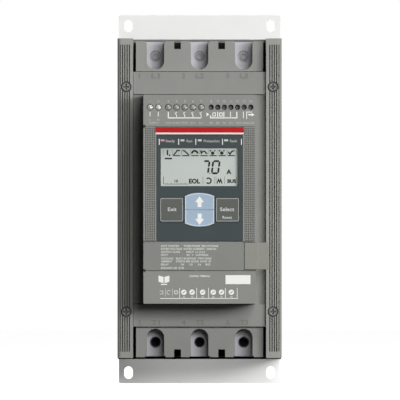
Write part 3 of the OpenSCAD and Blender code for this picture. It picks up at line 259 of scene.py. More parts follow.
def board_group():
    """Circuit board: solder mask over a net of tracks, with small tinned pads."""
    tree, given, out = new_group(
        "circuit board",
        [("Color", "NodeSocketColor", (0.1, 0.3, 0.2, 1))],
        [("Color", "NodeSocketColor"), ("Metal", "NodeSocketFloat")])
    where = add(tree, "ShaderNodeTexCoord").outputs["Object"]
    upright = {"Vector": where, "Rotation": (math.pi / 2, 0, 0)}
    flat = add(tree, "ShaderNodeMapping", upright).outputs["Vector"]
    tracks = add(tree, "ShaderNodeTexBrick",
                 {"Vector": flat, "Color1": (1, 1, 1, 1), "Color2": (0.85, 0.85, 0.85, 1),
                  "Mortar": (1.5, 1.5, 1.5, 1), "Scale": 260.0, "Mortar Size": 0.05}).outputs["Color"]
    spots = add(tree, "ShaderNodeTexVoronoi", {"Vector": flat, "Scale": 320.0}).outputs["Distance"]
    pads = reckon(tree, "LESS_THAN", spots, 0.16)
    mask = tint(tree, given.outputs["Color"], tracks)
    color = add(tree, "ShaderNodeMix", {"Factor": pads, 6: mask, 7: (0.6, 0.6, 0.58, 1)}, data_type="RGBA")
    tree.links.new(color.outputs[2], out.inputs["Color"])
    tree.links.new(pads, out.inputs["Metal"])
    return tree


def shaded(tree, given, out, skin, relief, mask):
    """Puts out a finish whose colour is taken down to the Shade input where the mask is 1: painted shade."""
    feeds = {key: given.outputs[key] for key in ("Color", "Roughness", relief)}
    look = add(tree, "ShaderNodeGroup", feeds, node_tree=skin).outputs
    shade = add(tree, "ShaderNodeMapRange", {"Value": mask, "To Min": 1.0, "To Max": given.outputs["Shade"]})
    tree.links.new(tint(tree, look["Color"], shade.outputs["Result"]), out.inputs["Color"])
    tree.links.new(look["Roughness"], out.inputs["Roughness"])
    tree.links.new(look["Normal"], out.inputs["Normal"])
    return tree


def groove_shade_group():
    """Painted shade in the bottoms of the column grooves: told by depth from the wall and by place across the
    column.
    """
    tree, given, out = new_group(
        "column grooves", [*finish_inputs(0.5, "Grain", 0.25), SHADE_INPUT], FINISH_OUTPUTS)
    where = add(tree, "ShaderNodeTexCoord").outputs["Object"]
    part = add(tree, "ShaderNodeSeparateXYZ", {"Vector": where}).outputs
    deep = reckon(tree, "COMPARE", part["Y"], -GROOVE_DEPTH[0] * MM, GROOVE_DEPTH[1] * MM)
    across = reckon(tree, "ABSOLUTE", part["X"])
    inside = reckon(tree, "COMPARE", across, GROOVE_FIELD[0] * MM, GROOVE_FIELD[1] * MM)
    return shaded(tree, given, out, MOULDED, "Grain", reckon(tree, "MULTIPLY", deep, inside))


def screw_shade_group():
    """Screw with painted shade in its drive recess and round its rim: told by depth from the wall and by
    distance from its axis.

    The four axes lie alike in the four quarters, so X and Z without their signs are measured to one of them.
    """
    tree, given, out = new_group(
        "driven screw", [*finish_inputs(0.4, "Lines", 0.2), SHADE_INPUT], FINISH_OUTPUTS)
    where = add(tree, "ShaderNodeTexCoord").outputs["Object"]
    depth = add(tree, "ShaderNodeSeparateXYZ", {"Vector": where}).outputs["Y"]
    recess = reckon(tree, "GREATER_THAN", depth, -DRIVE_DEPTH * MM)
    front = tint(tree, where, (1, 0, 1))
    corner = add(tree, "ShaderNodeVectorMath", {0: front}, operation="ABSOLUTE").outputs["Vector"]
    axis = (DRIVE_AXIS[0] * MM, 0, DRIVE_AXIS[1] * MM)
    reach = add(tree, "ShaderNodeVectorMath", {0: corner, 1: axis}, operation="DISTANCE").outputs["Value"]
    rim = reckon(tree, "GREATER_THAN", reach, DRIVE_RIM * MM)
    return shaded(tree, given, out, DRAWN, "Lines", reckon(tree, "MAXIMUM", recess, rim))


MOULDED = moulded_group()
GROOVE_SHADE = groove_shade_group()
DRAWN = drawn_group()
SCREW_SHADE = screw_shade_group()
PRINTED = ink_group()
BOARD = board_group()


def material(name, group, feeds, **shader):
    """Material whose Principled shader takes what the group gives; shader holds fixed socket values."""
    mat = bpy.data.materials.new(name)
    mat.use_nodes = True
    tree = mat.node_tree
    base = tree.nodes["Principled BSDF"]
    look = add(tree, "ShaderNodeGroup", node_tree=group)
    for key, value in feeds.items():
        look.inputs[key].default_value = value
    names = {"Color": "Base Color", "Roughness": "Roughness", "Normal": "Normal", "Metal": "Metallic"}
    for socket in look.outputs:
        tree.links.new(socket, base.inputs[names[socket.name]])
    for key, value in shader.items():
        base.inputs[key.replace("_", " ")].default_value = value
    return mat


def plastic(name, color, roughness=0.55, grain=0.25, gloss=0.25):
    """Moulded plastic of a screen colour."""
    return material(name, MOULDED, {"Color": screen(*color), "Roughness": roughness, "Grain": grain},
                    Specular_IOR_Level=gloss)


def metal(name, color, roughness=0.4, lines=0.2, metallic=1.0):
    """Drawn metal of a screen colour; a lower metallic value is a duller plating."""
    return material(name, DRAWN, {"Color": screen(*color), "Roughness": roughness, "Lines": lines},
                    Metallic=metallic)


def ink(name, color, roughness=0.5):
    """Printed ink of a screen colour."""
    return material(name, PRINTED, {"Color": screen(*color), "Roughness": roughness})


def board(name, color):
    """Circuit board with a solder mask of a screen colour."""
    return material(name, BOARD, {"Color": screen(*color)}, Roughness=0.4)


# Finishes of the built parts
housing_plastic = plastic("housing_plastic", (145, 146, 142))
# Raised pole names: darker than the housing plastic, as painted shade of their relief
name_shade_plastic = plastic("name_shade_plastic", (128, 129, 125))
duct_plastic = plastic("duct_plastic", (118, 119, 116))
# Column plastic, with painted shade in the bottoms of its grooves
column_plastic = material("column_plastic", GROOVE_SHADE, {"Color": screen(158, 159, 153), "Roughness": 0.55,
                                                      "Grain": 0.25, "Shade": 0.3}, Specular_IOR_Level=0.25)
shroud_plastic = plastic("shroud_plastic", (150, 151, 146))
module_plastic = plastic("module_plastic", (144, 145, 140))
label_plastic = plastic("label_plastic", (138, 139, 134))
port_plastic = plastic("port_plastic", (147, 147, 139))
black_plastic = plastic("black_plastic", (26, 26, 27))
# Fan tray: black plastic drawn darker than the other black plastic, partly painted shade of its deep place
# under the body
tray_plastic = plastic("tray_plastic", (10, 10, 11), 0.7, 0.2, 0.08)
# Grip dots: drawn darker than the module plastic, as painted shade between the bumps
grip_shade_plastic = plastic("grip_shade_plastic", (86, 88, 85), 0.7, 0.2, 0.1)
insulator_plastic = plastic("insulator_plastic", (18, 18, 20), 0.6, 0.2, 0.12)
block_plastic = plastic("block_plastic", (64, 66, 64))
key_plastic = plastic("key_plastic", (94, 97, 92), 0.55, 0.15)
arrow_plastic = plastic("arrow_plastic", (166, 187, 206), 0.5, 0.15)
web_plastic = plastic("web_plastic", (190, 208, 224), 0.5, 0.15)
insert_light_plastic = plastic("insert_light_plastic", (172, 172, 176), 0.5, 0.15)
strip_plastic = plastic("strip_plastic", (190, 20, 24), 0.5, 0.1, 0.12)
panel_foil = plastic("panel_foil", (72, 80, 82), 0.6, 0.3, 0.1)
rubber = plastic("rubber", (150, 150, 146), 0.75, 0.4)
cable_skin = plastic("cable_skin", (140, 142, 146), 0.5, 0.1)
power_case = plastic("power_case", (40, 40, 42), 0.4)
relay_case = plastic("relay_case", (220, 219, 212), 0.4)
core_case = plastic("core_case", (46, 62, 96), 0.4)
light_guide = plastic("light_guide", (236, 238, 228), 0.3, 0.05)
plate_paint = plastic("plate_paint", (251, 251, 249), 0.5, 0.3)
board_mask = board("board_mask", (28, 84, 52))
aluminium = metal("aluminium", (205, 207, 210), 0.42, 0.25)
tinned_copper = metal("tinned_copper", (190, 189, 195), 0.6, 0.15, 0.35)
zinc_steel = metal("zinc_steel", (196, 196, 192), 0.45, 0.1, 0.55)
dark_steel = metal("dark_steel", (58, 58, 60), 0.5, 0.1, 0.5)
# Housing screw steel, with painted shade in the drive recess and round the rim
screw_steel = material("screw_steel", SCREW_SHADE, {"Color": screen(126, 126, 125), "Roughness": 0.5, "Lines": 0.1,
                                               "Shade": 0.4}, Metallic=0.3)
# Control screw heads: the two supply heads are drawn lighter than the five input heads
lighter_head_steel = metal("lighter_head_steel", (206, 206, 202), 0.42, 0.05, 0.6)
darker_head_steel = metal("darker_head_steel", (164, 164, 159), 0.45, 0.05, 0.62)
contact_steel = metal("contact_steel", (142, 142, 139), 0.6, 0.1, 0.3)


def display_glass():
    """Reflective display cell: pale green-grey with a faint dot raster and slow drifts of tone."""
    tree, given, out = new_group(
        "display raster", [("Color", "NodeSocketColor", (0.5, 0.5, 0.5, 1))], [("Color", "NodeSocketColor")])
    where = add(tree, "ShaderNodeTexCoord").outputs["Object"]
    dots = add(tree, "ShaderNodeTexChecker",
               {"Vector": where, "Color1": (1, 1, 1, 1), "Color2": (0.975, 0.975, 0.975, 1),
                "Scale": 3000.0}).outputs["Color"]
    cloud = spread(tree, noise(tree, where, 40.0), 0.97, 1.03)
    tree.links.new(tint(tree, tint(tree, given.outputs["Color"], dots), cloud), out.inputs["Color"])
    return material("display_glass", tree, {"Color": screen(212, 219, 213)},
                    Roughness=0.45, Specular_IOR_Level=0.2)


def clear_pane():
    """Clear pane: nearly see-through, with a faint gloss."""
    return material("clear_pane", MOULDED, {"Color": screen(120, 126, 123), "Roughness": 0.12, "Grain": 0.02},
                    Alpha=0.04)


def lamp_light():
    """Light guides: the first one reddish, the others greenish, told apart by their place along X."""
    tree, given, out = new_group(
        "lamp colours",
        [("First", "NodeSocketColor", (1, 0, 0, 1)), ("Others", "NodeSocketColor", (0, 1, 0, 1))],
        [("Color", "NodeSocketColor")])
    where = add(tree, "ShaderNodeTexCoord").outputs["Object"]
    x = add(tree, "ShaderNodeSeparateXYZ", {"Vector": where}).outputs["X"]
    side = reckon(tree, "GREATER_THAN", x, LAMP_SPLIT * MM)
    pair = {"Factor": side, 6: given.outputs["First"], 7: given.outputs["Others"]}
    color = add(tree, "ShaderNodeMix", pair, data_type="RGBA").outputs[2]
    mottle = spread(tree, noise(tree, where, 900.0), 0.92, 1.05)
    tree.links.new(tint(tree, color, mottle), out.inputs["Color"])
    return material("lamp_light", tree, {"First": screen(214, 150, 146), "Others": screen(196, 214, 190)},
                    Roughness=0.3)


display_face = display_glass()
pane = clear_pane()
lamps = lamp_light()

FINISH = {
    "mounting_plate": plate_paint, "plate_screws": zinc_steel, "rear_housing": duct_plastic,
    "heat_sink": aluminium, "fan_tray": tray_plastic, "fan_frame_left": black_plastic,
    "fan_frame_right": black_plastic, "fan_rotor_left": insulator_plastic,
    "fan_rotor_right": insulator_plastic, "outlet_grille": black_plastic,
    "thyristor_left": power_case, "thyristor_right": power_case, "bypass_relay_left": relay_case,
    "bypass_relay_right": relay_case, "line_busbar_left": tinned_copper,
    "line_busbar_right": tinned_copper, "load_busbar_left": tinned_copper,
    "load_busbar_right": tinned_copper, "center_busbar": tinned_copper, "terminal_nuts": dark_steel,
    # Terminal carriers: black plastic, kept black also as painted shade of the deep space behind the gaps and
    # notches of the shrouds
    "line_terminal_carrier": insulator_plastic, "load_terminal_carrier": insulator_plastic,
    "current_transformer_left": core_case, "current_transformer_middle": core_case,
    "current_transformer_right": core_case, "power_board": board_mask, "ribbon_cable": cable_skin,
    "side_cover_left": column_plastic, "side_cover_right": column_plastic,
    "front_housing": housing_plastic, "line_terminal_shroud": shroud_plastic,
    "load_terminal_shroud": shroud_plastic, "housing_screws": screw_steel,
    "module_case": module_plastic, "control_board": board_mask,
    "supply_terminal_block": block_plastic, "input_terminal_block": block_plastic,
    "relay_terminal_block": block_plastic, "control_terminal_screws": contact_steel,
    "upper_cover": module_plastic, "keypad_bezel": module_plastic, "label_panel": label_plastic,
    "lower_cover": module_plastic, "color_strip": strip_plastic, "keypad_panel": panel_foil,
    "display_board": board_mask, "lcd_backlight": light_guide, "lcd_module": display_face,
    "display_lens": pane, "keypad_mat": rubber, "exit_key": key_plastic, "up_key": arrow_plastic,
    "down_key": arrow_plastic, "select_key": key_plastic, "status_lamps": lamps,
    "bus_socket": black_plastic, "bus_port_cover": port_plastic,
}
for name, mat in FINISH.items():
    mesh = frame["nodes"][name].data
    mesh.materials.clear()
    mesh.materials.append(mat)

# Rounding of the moulded, stamped and turned edges, in millimetres
EDGE = {
    "mounting_plate": 0.4, "rear_housing": 0.4, "fan_tray": 0.3, "front_housing": 0.4,
    "line_terminal_shroud": 0.5, "load_terminal_shroud": 0.5, "module_case": 0.4, "upper_cover": 0.35,
    "keypad_bezel": 0.3, "label_panel": 0.3, "lower_cover": 0.35, "exit_key": 0.25, "up_key": 0.25,
    "down_key": 0.25, "select_key": 0.25, "bus_port_cover": 0.4, "color_strip": 0.2,
    "housing_screws": 0.25, "control_terminal_screws": 0.3, "line_busbar_left": 0.4,
    "line_busbar_right": 0.4, "load_busbar_left": 0.4, "load_busbar_right": 0.4, "center_busbar": 0.4,
}


def round_edges(node, width):
    """Rounds the sharp edges of a part: corners joined, flat faces made whole, then a bevel in two steps."""
    weld = node.modifiers.new("join corners", "WELD")
    weld.merge_threshold = 0.000005
    flat = node.modifiers.new("flat faces", "DECIMATE")
    flat.decimate_type = "DISSOLVE"
    flat.angle_limit = math.radians(1)
    edge = node.modifiers.new("edge rounding", "BEVEL")
    edge.width = width * MM
    edge.segments = 2
    edge.limit_method = "ANGLE"
    edge.angle_limit = math.radians(40)
    edge.use_clamp_overlap = True
    edge.harden_normals = False
    smooth = node.modifiers.new("even shading", "WEIGHTED_NORMAL")
    smooth.keep_sharp = True


for name, width in EDGE.items():
    round_edges(frame["nodes"][name], width)


# Print, raised lettering and grips

def loop_of(outline, depth):
    """Points of a front-view outline (X, Z) at one depth."""
    outline = np.asarray(outline, float)
    return np.column_stack([outline[:, 0], np.full(len(outline), -depth), outline[:, 1]])


def strips(rows, count, closed):
    """Faces of a grid of rows times count points: each row joins the next, and its last point its first.

    A closed grid also joins its last row to the first.
    """
    i = np.arange(count)
    j = (i + 1) % count
    k = np.arange(rows if closed else rows - 1)[:, None]
    here, there = k * count, (k + 1) % rows * count
    return np.stack([here + i, there + i, there + j, here + j], -1).ravel()


def capped(rows, count):
    """Faces of rings of points, each joined to the next, with the first and the last ring closed."""
    quads = strips(rows, count, False)
    back = np.arange(rows * count - 1, (rows - 1) * count - 1, -1)
    corner = np.concatenate([quads, np.arange(count), back])
    return corner, np.concatenate([np.full(len(quads) // 4, 4), [count, count]])


def at_places(places, face, shape):
    """Copies of a shape on a face: its points moved to each place, its faces counted on from copy to copy."""
    co, corner, size = shape
    spots = np.column_stack([places[:, 0], np.full(len(places), -face), places[:, 1]])
    first = np.arange(len(places))[:, None] * len(co)
    return (spots[:, None, :] + co).reshape(-1, 3), (first + corner).ravel(), np.tile(size, len(places))


def solid(outline, face, rise=INK):
    """Prism from just under a face to its rise: an anticlockwise outline at two depths, both ends closed."""
    co = np.concatenate([loop_of(outline, face + rise), loop_of(outline, face - SEAT)])
    return co, *capped(2, len(outline))


def band(outer, inner, face):
    """Flat ring: outer and inner outlines of equal length at two depths, joined in turn to a closed tube."""
    n = len(outer)
    high, low = face + INK, face - SEAT
    loops = [loop_of(outer, high), loop_of(outer, low), loop_of(inner, low), loop_of(inner, high)]
    return np.concatenate(loops), strips(len(loops), n, True), np.full(len(loops) * n, 4)


def stroke(points, width, face):
    """Line of one width: the points moved to both sides along the mitred normals, made into a prism."""
    p = np.asarray(points, float)
    step = np.diff(p, axis=0)
    step /= np.linalg.norm(step, axis=1, keepdims=True)
    side = np.column_stack([-step[:, 1], step[:, 0]])
    before, after = np.vstack([side[:1], side]), np.vstack([side, side[-1:]])
    mitre = before + after
    mitre /= np.sum(mitre * before, axis=1, keepdims=True)
    return solid(np.vstack([p - mitre * width / 2, (p + mitre * width / 2)[::-1]]), face)


def row_of(across, z):
    """Places in a row at one height."""
    return np.column_stack([across, np.full(len(across), z)])


def rect(x0, x1, z0, z1):
    """Corners of an upright rectangle, anticlockwise."""
    return np.array([(x0, z0), (x1, z0), (x1, z1), (x0, z1)])


def full_turn(count):
    """Angles of a full turn in equal steps."""
    return np.arange(count) * 2 * math.pi / count


def disc(x, z, r, count=24):
    """Points of a circle, anticlockwise."""
    a = full_turn(count)
    return np.column_stack([x + r * np.cos(a), z + r * np.sin(a)])


def round_rect(x, z, half_x, half_z, r):
    """Rectangle about a place with round corners: a circle's points moved out to the four corners."""
    points = disc(0, 0, r, 32)
    return points + np.sign(np.round(points, 6)) * (half_x - r, half_z - r) + (x, z)


def frame_of(x, z, half_x, half_z, r, width, face):
    """Border of a rectangle with round corners, of one width to the inside."""
    inner = round_rect(x, z, half_x - width, half_z - width, max(r - width, 0.05))
    return band(round_rect(x, z, half_x, half_z, r), inner, face)


def lettering(text, x, z, height, face, align="CENTER", wide=None, rise=INK, bold=0.012):
    """Words on a face: filled font outlines with a thickness, set to a height of capitals and a width."""
    curve = bpy.data.curves.new("words", "FONT")
    curve.body = text
    curve.size = height / CAPITAL
    curve.offset = bold * curve.size
    curve.extrude = (rise + SEAT) / 2
    curve.resolution_u = 3
    words = bpy.data.objects.new("words", curve)
    mesh = bpy.data.meshes.new_from_object(words)
    co = np.empty(len(mesh.vertices) * 3, np.float32)
    corner = np.empty(len(mesh.loops), np.int32)
    count = np.empty(len(mesh.polygons), np.int32)
    mesh.vertices.foreach_get("co", co)
    mesh.loops.foreach_get("vertex_index", corner)
    mesh.polygons.foreach_get("loop_total", count)
    bpy.data.batch_remove((words, curve, mesh))
    co = co.reshape(-1, 3)
    low, high = co[:, 0].min(), co[:, 0].max()
    across = (co[:, 0] - low) * ((wide or high - low) / (high - low))
    start = {"LEFT": 0, "CENTER": -across.max() / 2}[align]
    placed = np.column_stack([across + start + x, -co[:, 2] - face - (rise - SEAT) / 2, co[:, 1] + z])
    _, first, same = np.unique(np.round(placed, 4), axis=0, return_index=True, return_inverse=True)
    return placed[first], same.ravel()[corner], count


def domes(places, radius, face, rise):
    """Low domes on a face: rings of shrinking radius and growing height about each place, closed by a tip."""
    count, share = 8, np.array([1.0, 0.8, 0.45])
    rows = len(share)
    a = np.tile(full_turn(count), rows)
    reach = np.repeat(share, count) * radius
    high = np.repeat(np.sqrt(1 - share ** 2), count)
    ring = np.vstack([np.column_stack([np.cos(a) * reach, high, np.sin(a) * reach]), (0, 1, 0)])
    i = np.arange(count)
    j = (i + 1) % count
    quads = strips(rows, count, False).reshape(-1, 4)[:, ::-1]
    last = (rows - 1) * count
    tips = np.column_stack([last + i, last + j, np.full(count, last + count)])
    one = np.concatenate([quads.ravel(), tips.ravel(), i[::-1]])
    size = np.concatenate([np.full(len(quads), 4), np.full(len(tips), 3), [count]])
    return at_places(places, face, (ring * (1, -rise, 1), one, size))


def slotted_heads(places, radius, face, rise, slot):
    """Domed screw heads: height falls with the square of the radius, less a slot cut across the middle.

    A polar grid of rings about each place; points nearer than half the slot's width to the slot's line sink
    by its depth, and the outer ring goes on under the face.
    """
    count, tip, rings, fall, blend = 48, 0.04, 14, 0.75, 0.08
    share = np.concatenate([np.linspace(tip, 1, rings), [1.0]])
    turn, half, depth = slot
    a = full_turn(count)
    x, z = np.outer(share, np.cos(a)) * radius, np.outer(share, np.sin(a)) * radius
    off = np.abs(z * math.cos(turn) - x * math.sin(turn))
    sunk = np.clip((half + blend - off) / (2 * blend), 0, 1)
    high = rise * (1 - fall * share[:, None] ** 2) - depth * sunk
    high[-1] = -SEAT
    ring = np.column_stack([x.ravel(), -high.ravel(), z.ravel()])
    return at_places(places, face, (ring, *capped(len(share), count)))


def piece(name, shapes, mat, body, flat=True):
    """One object made of several shapes, given in millimetres, that rides a body."""
    start = np.cumsum([0] + [len(shape[0]) for shape in shapes])
    co = np.concatenate([shape[0] for shape in shapes]) * MM
    corner = np.concatenate([shape[1] + k for shape, k in zip(shapes, start)])
    count = np.concatenate([shape[2] for shape in shapes])
    mesh = bpy.data.meshes.new(name)
    mesh.vertices.add(len(co))
    mesh.vertices.foreach_set("co", co.astype(np.float32).ravel())
    mesh.loops.add(len(corner))
    mesh.loops.foreach_set("vertex_index", corner.astype(np.int32))
    mesh.polygons.add(len(count))
    mesh.polygons.foreach_set("loop_start", (np.cumsum(count) - count).astype(np.int32))
    mesh.update(calc_edges=True)
    if flat:
        mesh.shade_flat()
    mesh.materials.append(mat)
    obj = bpy.data.objects.new(name, mesh)
    bpy.context.scene.collection.objects.link(obj)
    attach(obj, body)


white_ink = ink("white_ink", (250, 250, 246))
pale_ink = ink("pale_ink", (218, 220, 215))
faint_ink = ink("faint_ink", (188, 190, 185))
border_ink = ink("border_ink", (164, 167, 164))
blue_border_ink = ink("blue_border_ink", (214, 224, 232), 0.45)
segment_ink = ink("segment_ink", (6, 8, 8), 0.7)
faint_segment_ink = ink("faint_segment_ink", (122, 130, 125), 0.6)
strip_ink = ink("strip_ink", (243, 226, 224), 0.4)
slot_ink = ink("slot_ink", (128, 130, 126))


def terminal_marks():
    """Wiring drawn under the control screws: supply leads, inputs, relay contacts and the analog output."""
    low, mid, top = 64.2, 66.2, 69.0
    fine, post, wire = 0.6, 0.7, 0.8
    swing, lift, stub = 1.2, 0.6, 0.9
    relay_left, relay_right = 8.7, 29.4
    lead_end, common_end = 65.4, INPUT_X[-1] + 0.2
    marks = [stroke([(x, top), (x, lead_end)], fine, COVER) for x in SUPPLY_X]
    marks.append(stroke([(INPUT_X[0], top), (INPUT_X[0], low), (common_end, low)], wire, COVER))
    for x in INPUT_X[1:]:
        marks.append(stroke([(x, low), (x, mid), (x - swing, top - lift)], fine, COVER))
        marks.append(stroke([(x, top - stub), (x, top)], fine, COVER))
    relay_wire = [(relay_left, mid), (relay_left, low), (relay_right, low), (relay_right, top)]
    marks.append(stroke(relay_wire, wire, COVER))
    marks += [stroke([(x, low), (x, top)], post, COVER) for x in (14.3, 19.2, 24.4)]
    marks += [frame_of(x, 66.9, 1.35, 1.55, 0.3, fine, COVER) for x in (11.5, 16.8)]
    marks.append(solid([(5.4, 65.4), (7.6, 66.9), (5.4, 68.4)], COVER))
    marks.append(stroke([(34.6, top), (34.6, 64.0)], fine, COVER))
    marks.append(stroke([(41.4, 68.8), (37.2, 68.8), (37.2, 63.2)], fine, COVER))
    marks.append(solid([(38.4, 66.2), (41.0, 66.2), (41.0, 65.3), (43.3, 66.7), (41.0, 68.0), (41.0, 67.2),
                        (38.4, 67.2)], COVER))
    return marks


def terminal_words():
    """Numbers over the control screws, and small words under the wiring."""
    number_z, lead_z, word_z = 76.4, 62.0, 59.5
    number_high, lead_high, word_high = 1.8, 1.6, 1.5
    words = [("SUPPLY", -35.8), ("COM", -24.7), ("START", -18.2), ("STOP", -11.7), ("IN 0", -5.2),
             ("IN 1", 1.3), ("K4", 9.2), ("K5", 14.4), ("K6", 19.6), ("24 V", 25.2), ("OUT", 31.0),
             ("ANALOG", 38.6)]
    numbers = [lettering(str(i + 1), x, number_z, number_high, COVER)
               for i, x in enumerate([*SUPPLY_X, *INPUT_X, *RELAY_X])]
    leads = [lettering(word, x, lead_z, lead_high, COVER) for word, x in zip(("L", "N"), SUPPLY_X)]
    return numbers + leads + [lettering(word, x, word_z, word_high, COVER) for word, x in words]


def lamp_row():
    """Upright bars between the lamps."""
    half, low, top = 0.3, 43.0, 47.7
    return [solid(rect(x - half, x + half, low, top), PANEL) for x in (-31.8, -16.5, -3.0, 18.1, 33.0)]


def lamp_words():
    """One word after each lamp."""
    words = [("Ready", -26.6), ("Run", -10.2), ("Protection", 3.3), ("Fault", 24.0)]
    base, high = 45.0, 2.0
    return [lettering(word, x, base, high, PANEL, "LEFT") for word, x in words]


def digit(lit, x, z, wide, high):
    """Slanted seven-segment digit: bars with pointed ends between the corners of two squares."""
    thick, lean, gap = 1.55, 0.13, 0.1
    corner = {"tl": (0, high), "tr": (wide, high), "ml": (0, high / 2), "mr": (wide, high / 2), "bl": (0, 0),
              "br": (wide, 0)}
    ends = {"a": ("tl", "tr"), "b": ("tr", "mr"), "c": ("mr", "br"), "d": ("bl", "br"), "e": ("ml", "bl"),
            "f": ("tl", "ml"), "g": ("ml", "mr")}
    shapes = []
    for name in lit:
        p, q = np.array(corner[ends[name][0]], float), np.array(corner[ends[name][1]], float)
        along = (q - p) / np.linalg.norm(q - p)
        side = np.array([-along[1], along[0]]) * thick / 2
        point = along * thick / 2
        p, q = p + along * gap, q - along * gap
        bar = np.array([p, p + point - side, q - point - side, q, q - point + side, p + point + side])
        shapes.append(solid(bar + np.column_stack([bar[:, 1] * lean + x, np.full(len(bar), z)]), LCD))
    return shapes


def arc(x, z, r, start, end, count):
    """Points of a circle from one angle to another."""
    turn = np.linspace(start, end, count)
    return np.column_stack([x + r * np.cos(turn), z + r * np.sin(turn)])


def motor(x):
    """Motor sign: a body between two smaller dots above it."""
    body, dots = disc(x + 2.6, 36.4, 1.4), [disc(x + side, 38.3, 0.65, 12) for side in (0.9, 4.3)]
    return [solid(shape, LCD) for shape in (body, *dots)]


def menu_icons():
    """Icons of the menu row: curves over a base line, two motors, and the current sign in the first field."""
    base, base_left, base_right = 34.4, 0.2, 5.9
    line, hump_line, base_line = 1.05, 1.5, 0.85
    curves = {
        1: [(0.5, 34.8), (2.6, 37.2), (3.4, 38.5), (5.6, 38.5)],
        2: [(0.4, 38.5), (1.9, 38.3), (5.4, 35.0)],
        4: [(0.4, 38.6), (0.9, 36.4), (2.2, 37.9), (3.6, 37.9), (4.6, 36.4), (5.8, 36.0)],
        7: [(0.6, 37.6), (1.9, 35.4), (3.2, 37.6), (5.4, 38.6)],
    }
    marks = [stroke(np.array(points) + (ICON_X[k], 0), line, LCD) for k, points in curves.items()]
    marks.append(stroke(arc(2.9, 36.0, 2.2, math.pi, 0, 13) + (ICON_X[3], 0), hump_line, LCD))
    marks += motor(ICON_X[5]) + motor(ICON_X[6])
    marks += [stroke([(x + base_left, base), (x + base_right, base)], base_line, LCD) for x in ICON_X[1:8]]
    marks.append(lettering("I", ICON_X[0] + 2.9, 35.2, 3.4, LCD, bold=0.07))
    marks.append(lettering("e", ICON_X[0] + 4.6, 34.2, 1.8, LCD, bold=0.05))
    return marks


def reading():
    """Cursor under the first icon, the two digits with their point, and the unit."""
    low, high = 20.5, 9.6
    cursor = solid(rect(-27.5, -21.7, 31.5, 32.7), LCD)
    point = solid(rect(7.7, 8.5, 19.8, 20.6), LCD)
    unit = lettering("A", 23.1, 20.0, 3.3, LCD, bold=0.05)
    return [cursor, *digit("abc", 2.0, low, 4.6, high), *digit("abcdef", 9.6, low, 5.0, high), point, unit]


def status_fields():
    """Lower row of the display: scale with its number, end-of-limit word, two signs and the bus word."""
    scale = [(-28.4, STATUS_TOP), (-28.4, STATUS_LOW), (-9.2, STATUS_LOW)]
    open_ring = arc(7.0, 14.6, 2.1, -2.4, 1.5 * math.pi - 2.4, 13)
    wave = [(13.9, 12.4), (14.9, 15.6), (15.8, 13.4), (16.7, 15.6), (17.7, 12.4)]
    return [stroke(scale, 0.4, LCD), lettering("10", -18.4, 13.2, 2.2, LCD, bold=0.03),
            lettering("EOL", -4.0, 12.6, 3.3, LCD, wide=8.8, bold=0.05),
            stroke(open_ring, 1.1, LCD), stroke(wave, 0.9, LCD),
            lettering("BUS", 25.4, 13.0, 2.6, LCD, wide=6.8, bold=0.05)]


def faint_marks():
    """Thin dividers of the icon row and the status row, and the ticks of the scale."""
    icon_low, icon_top, beside = 34.0, 39.2, 0.4
    tick_low, tick_top = 12.2, 13.2
    hair, divider = 0.3, 0.35
    marks = [stroke([(x, icon_low), (x, icon_top)], hair, LCD) for x in ICON_X - beside]
    marks += [stroke([(x, STATUS_LOW), (x, STATUS_TOP)], divider, LCD) for x in (2.6, 11.6, 13.0, 19.6, 29.2)]
    marks += [stroke([(x, tick_low), (x, tick_top)], hair, LCD) for x in (-25.6, -22.4, -14.4, -11.4)]
    return marks


def arrow_edge(inset, up):
    """Outer edge of an arrow key: up one side, over the bowed end, down the other, moved in by an inset."""
    side, half = ARROW_KEYS_HALF
    count = 17
    r = (side ** 2 + ARROW_KEY_BOW ** 2) / (2 * ARROW_KEY_BOW)
    x = np.linspace(inset - side, side - inset, count)
    z = half - r + np.sqrt((r - inset) ** 2 - x ** 2)
    foot = [ARROW_KEY_SPLIT]
    points = np.column_stack([x[[0, *range(count), -1]], np.concatenate([foot, z, foot])])
    return points * (1, 1 if up else -1) + (0, KEY_Z)


def arrow(tip, tail):
    """Arrow from its tail to its tip along Z: stem and head."""
    s = 1 if tip > tail else -1
    stem, wing, neck = 1.6 * s, 3.5 * s, tip - 4.8 * s
    points = [(-stem, tail), (stem, tail), (stem, neck), (wing, neck), (0, tip), (-wing, neck), (-stem, neck)]
    return solid(np.array(points), FRONT)


def rating_rows():
    """Rating words on the label panel, row by row: height of the row, then each start with its words."""
    left, high = -30.4, 1.45
    rows = [
        (-37.6, [(left, "SOFT STARTER"), (-12.6, "THREE PHASE  RMS RATINGS")]),
        (-39.9, [(left, "RATED VOLTAGE"), (-12.6, "RATED CURRENT  50/60 Hz")]),
        (-42.3, [(left, "OUTPUT CLASS"), (-10.4, "INPUT  L1 L2 L3")]),
        (-44.7, [(left, "DUTY"), (-10.4, "AC  V"), (-3.2, "CONTROL")]),
        (-47.5, [(left, "COOLING"), (-18.6, "BUILT-IN BYPASS  TWO FANS")]),
        (-49.8, [(left, "AMBIENT"), (-18.6, "STARTS PER HOUR  RAMP UP")]),
        (-52.2, [(left, "RELAY"), (-14.6, "K4"), (-7.8, "K5"), (-1.2, "K6"), (4.8, "BUS")]),
        (-55.0, [(left, "INDOOR USE  IP 00")]),
    ]
    return [lettering(word, x, z, high, LABEL, "LEFT", bold=0.025) for z, words in rows for x, word in words]


def open_book():
    """Open book: two leaves that rise to the outside, over a spine."""
    x, z = -28.1, -63.6
    fold, edge = 0.35, 4.3
    leaves = []
    for s in (1, -1):
        inner, outer = x + s * fold, x + s * edge
        leaf = [(inner, z - 2.6), (outer, z - 1.5), (outer, z + 3.4), (inner, z + 2.3)]
        leaves.append(solid(leaf[::s], COVER))
    return leaves + [solid(rect(x - 2.4, x + 2.4, z - 4.0, z - 3.2), COVER)]


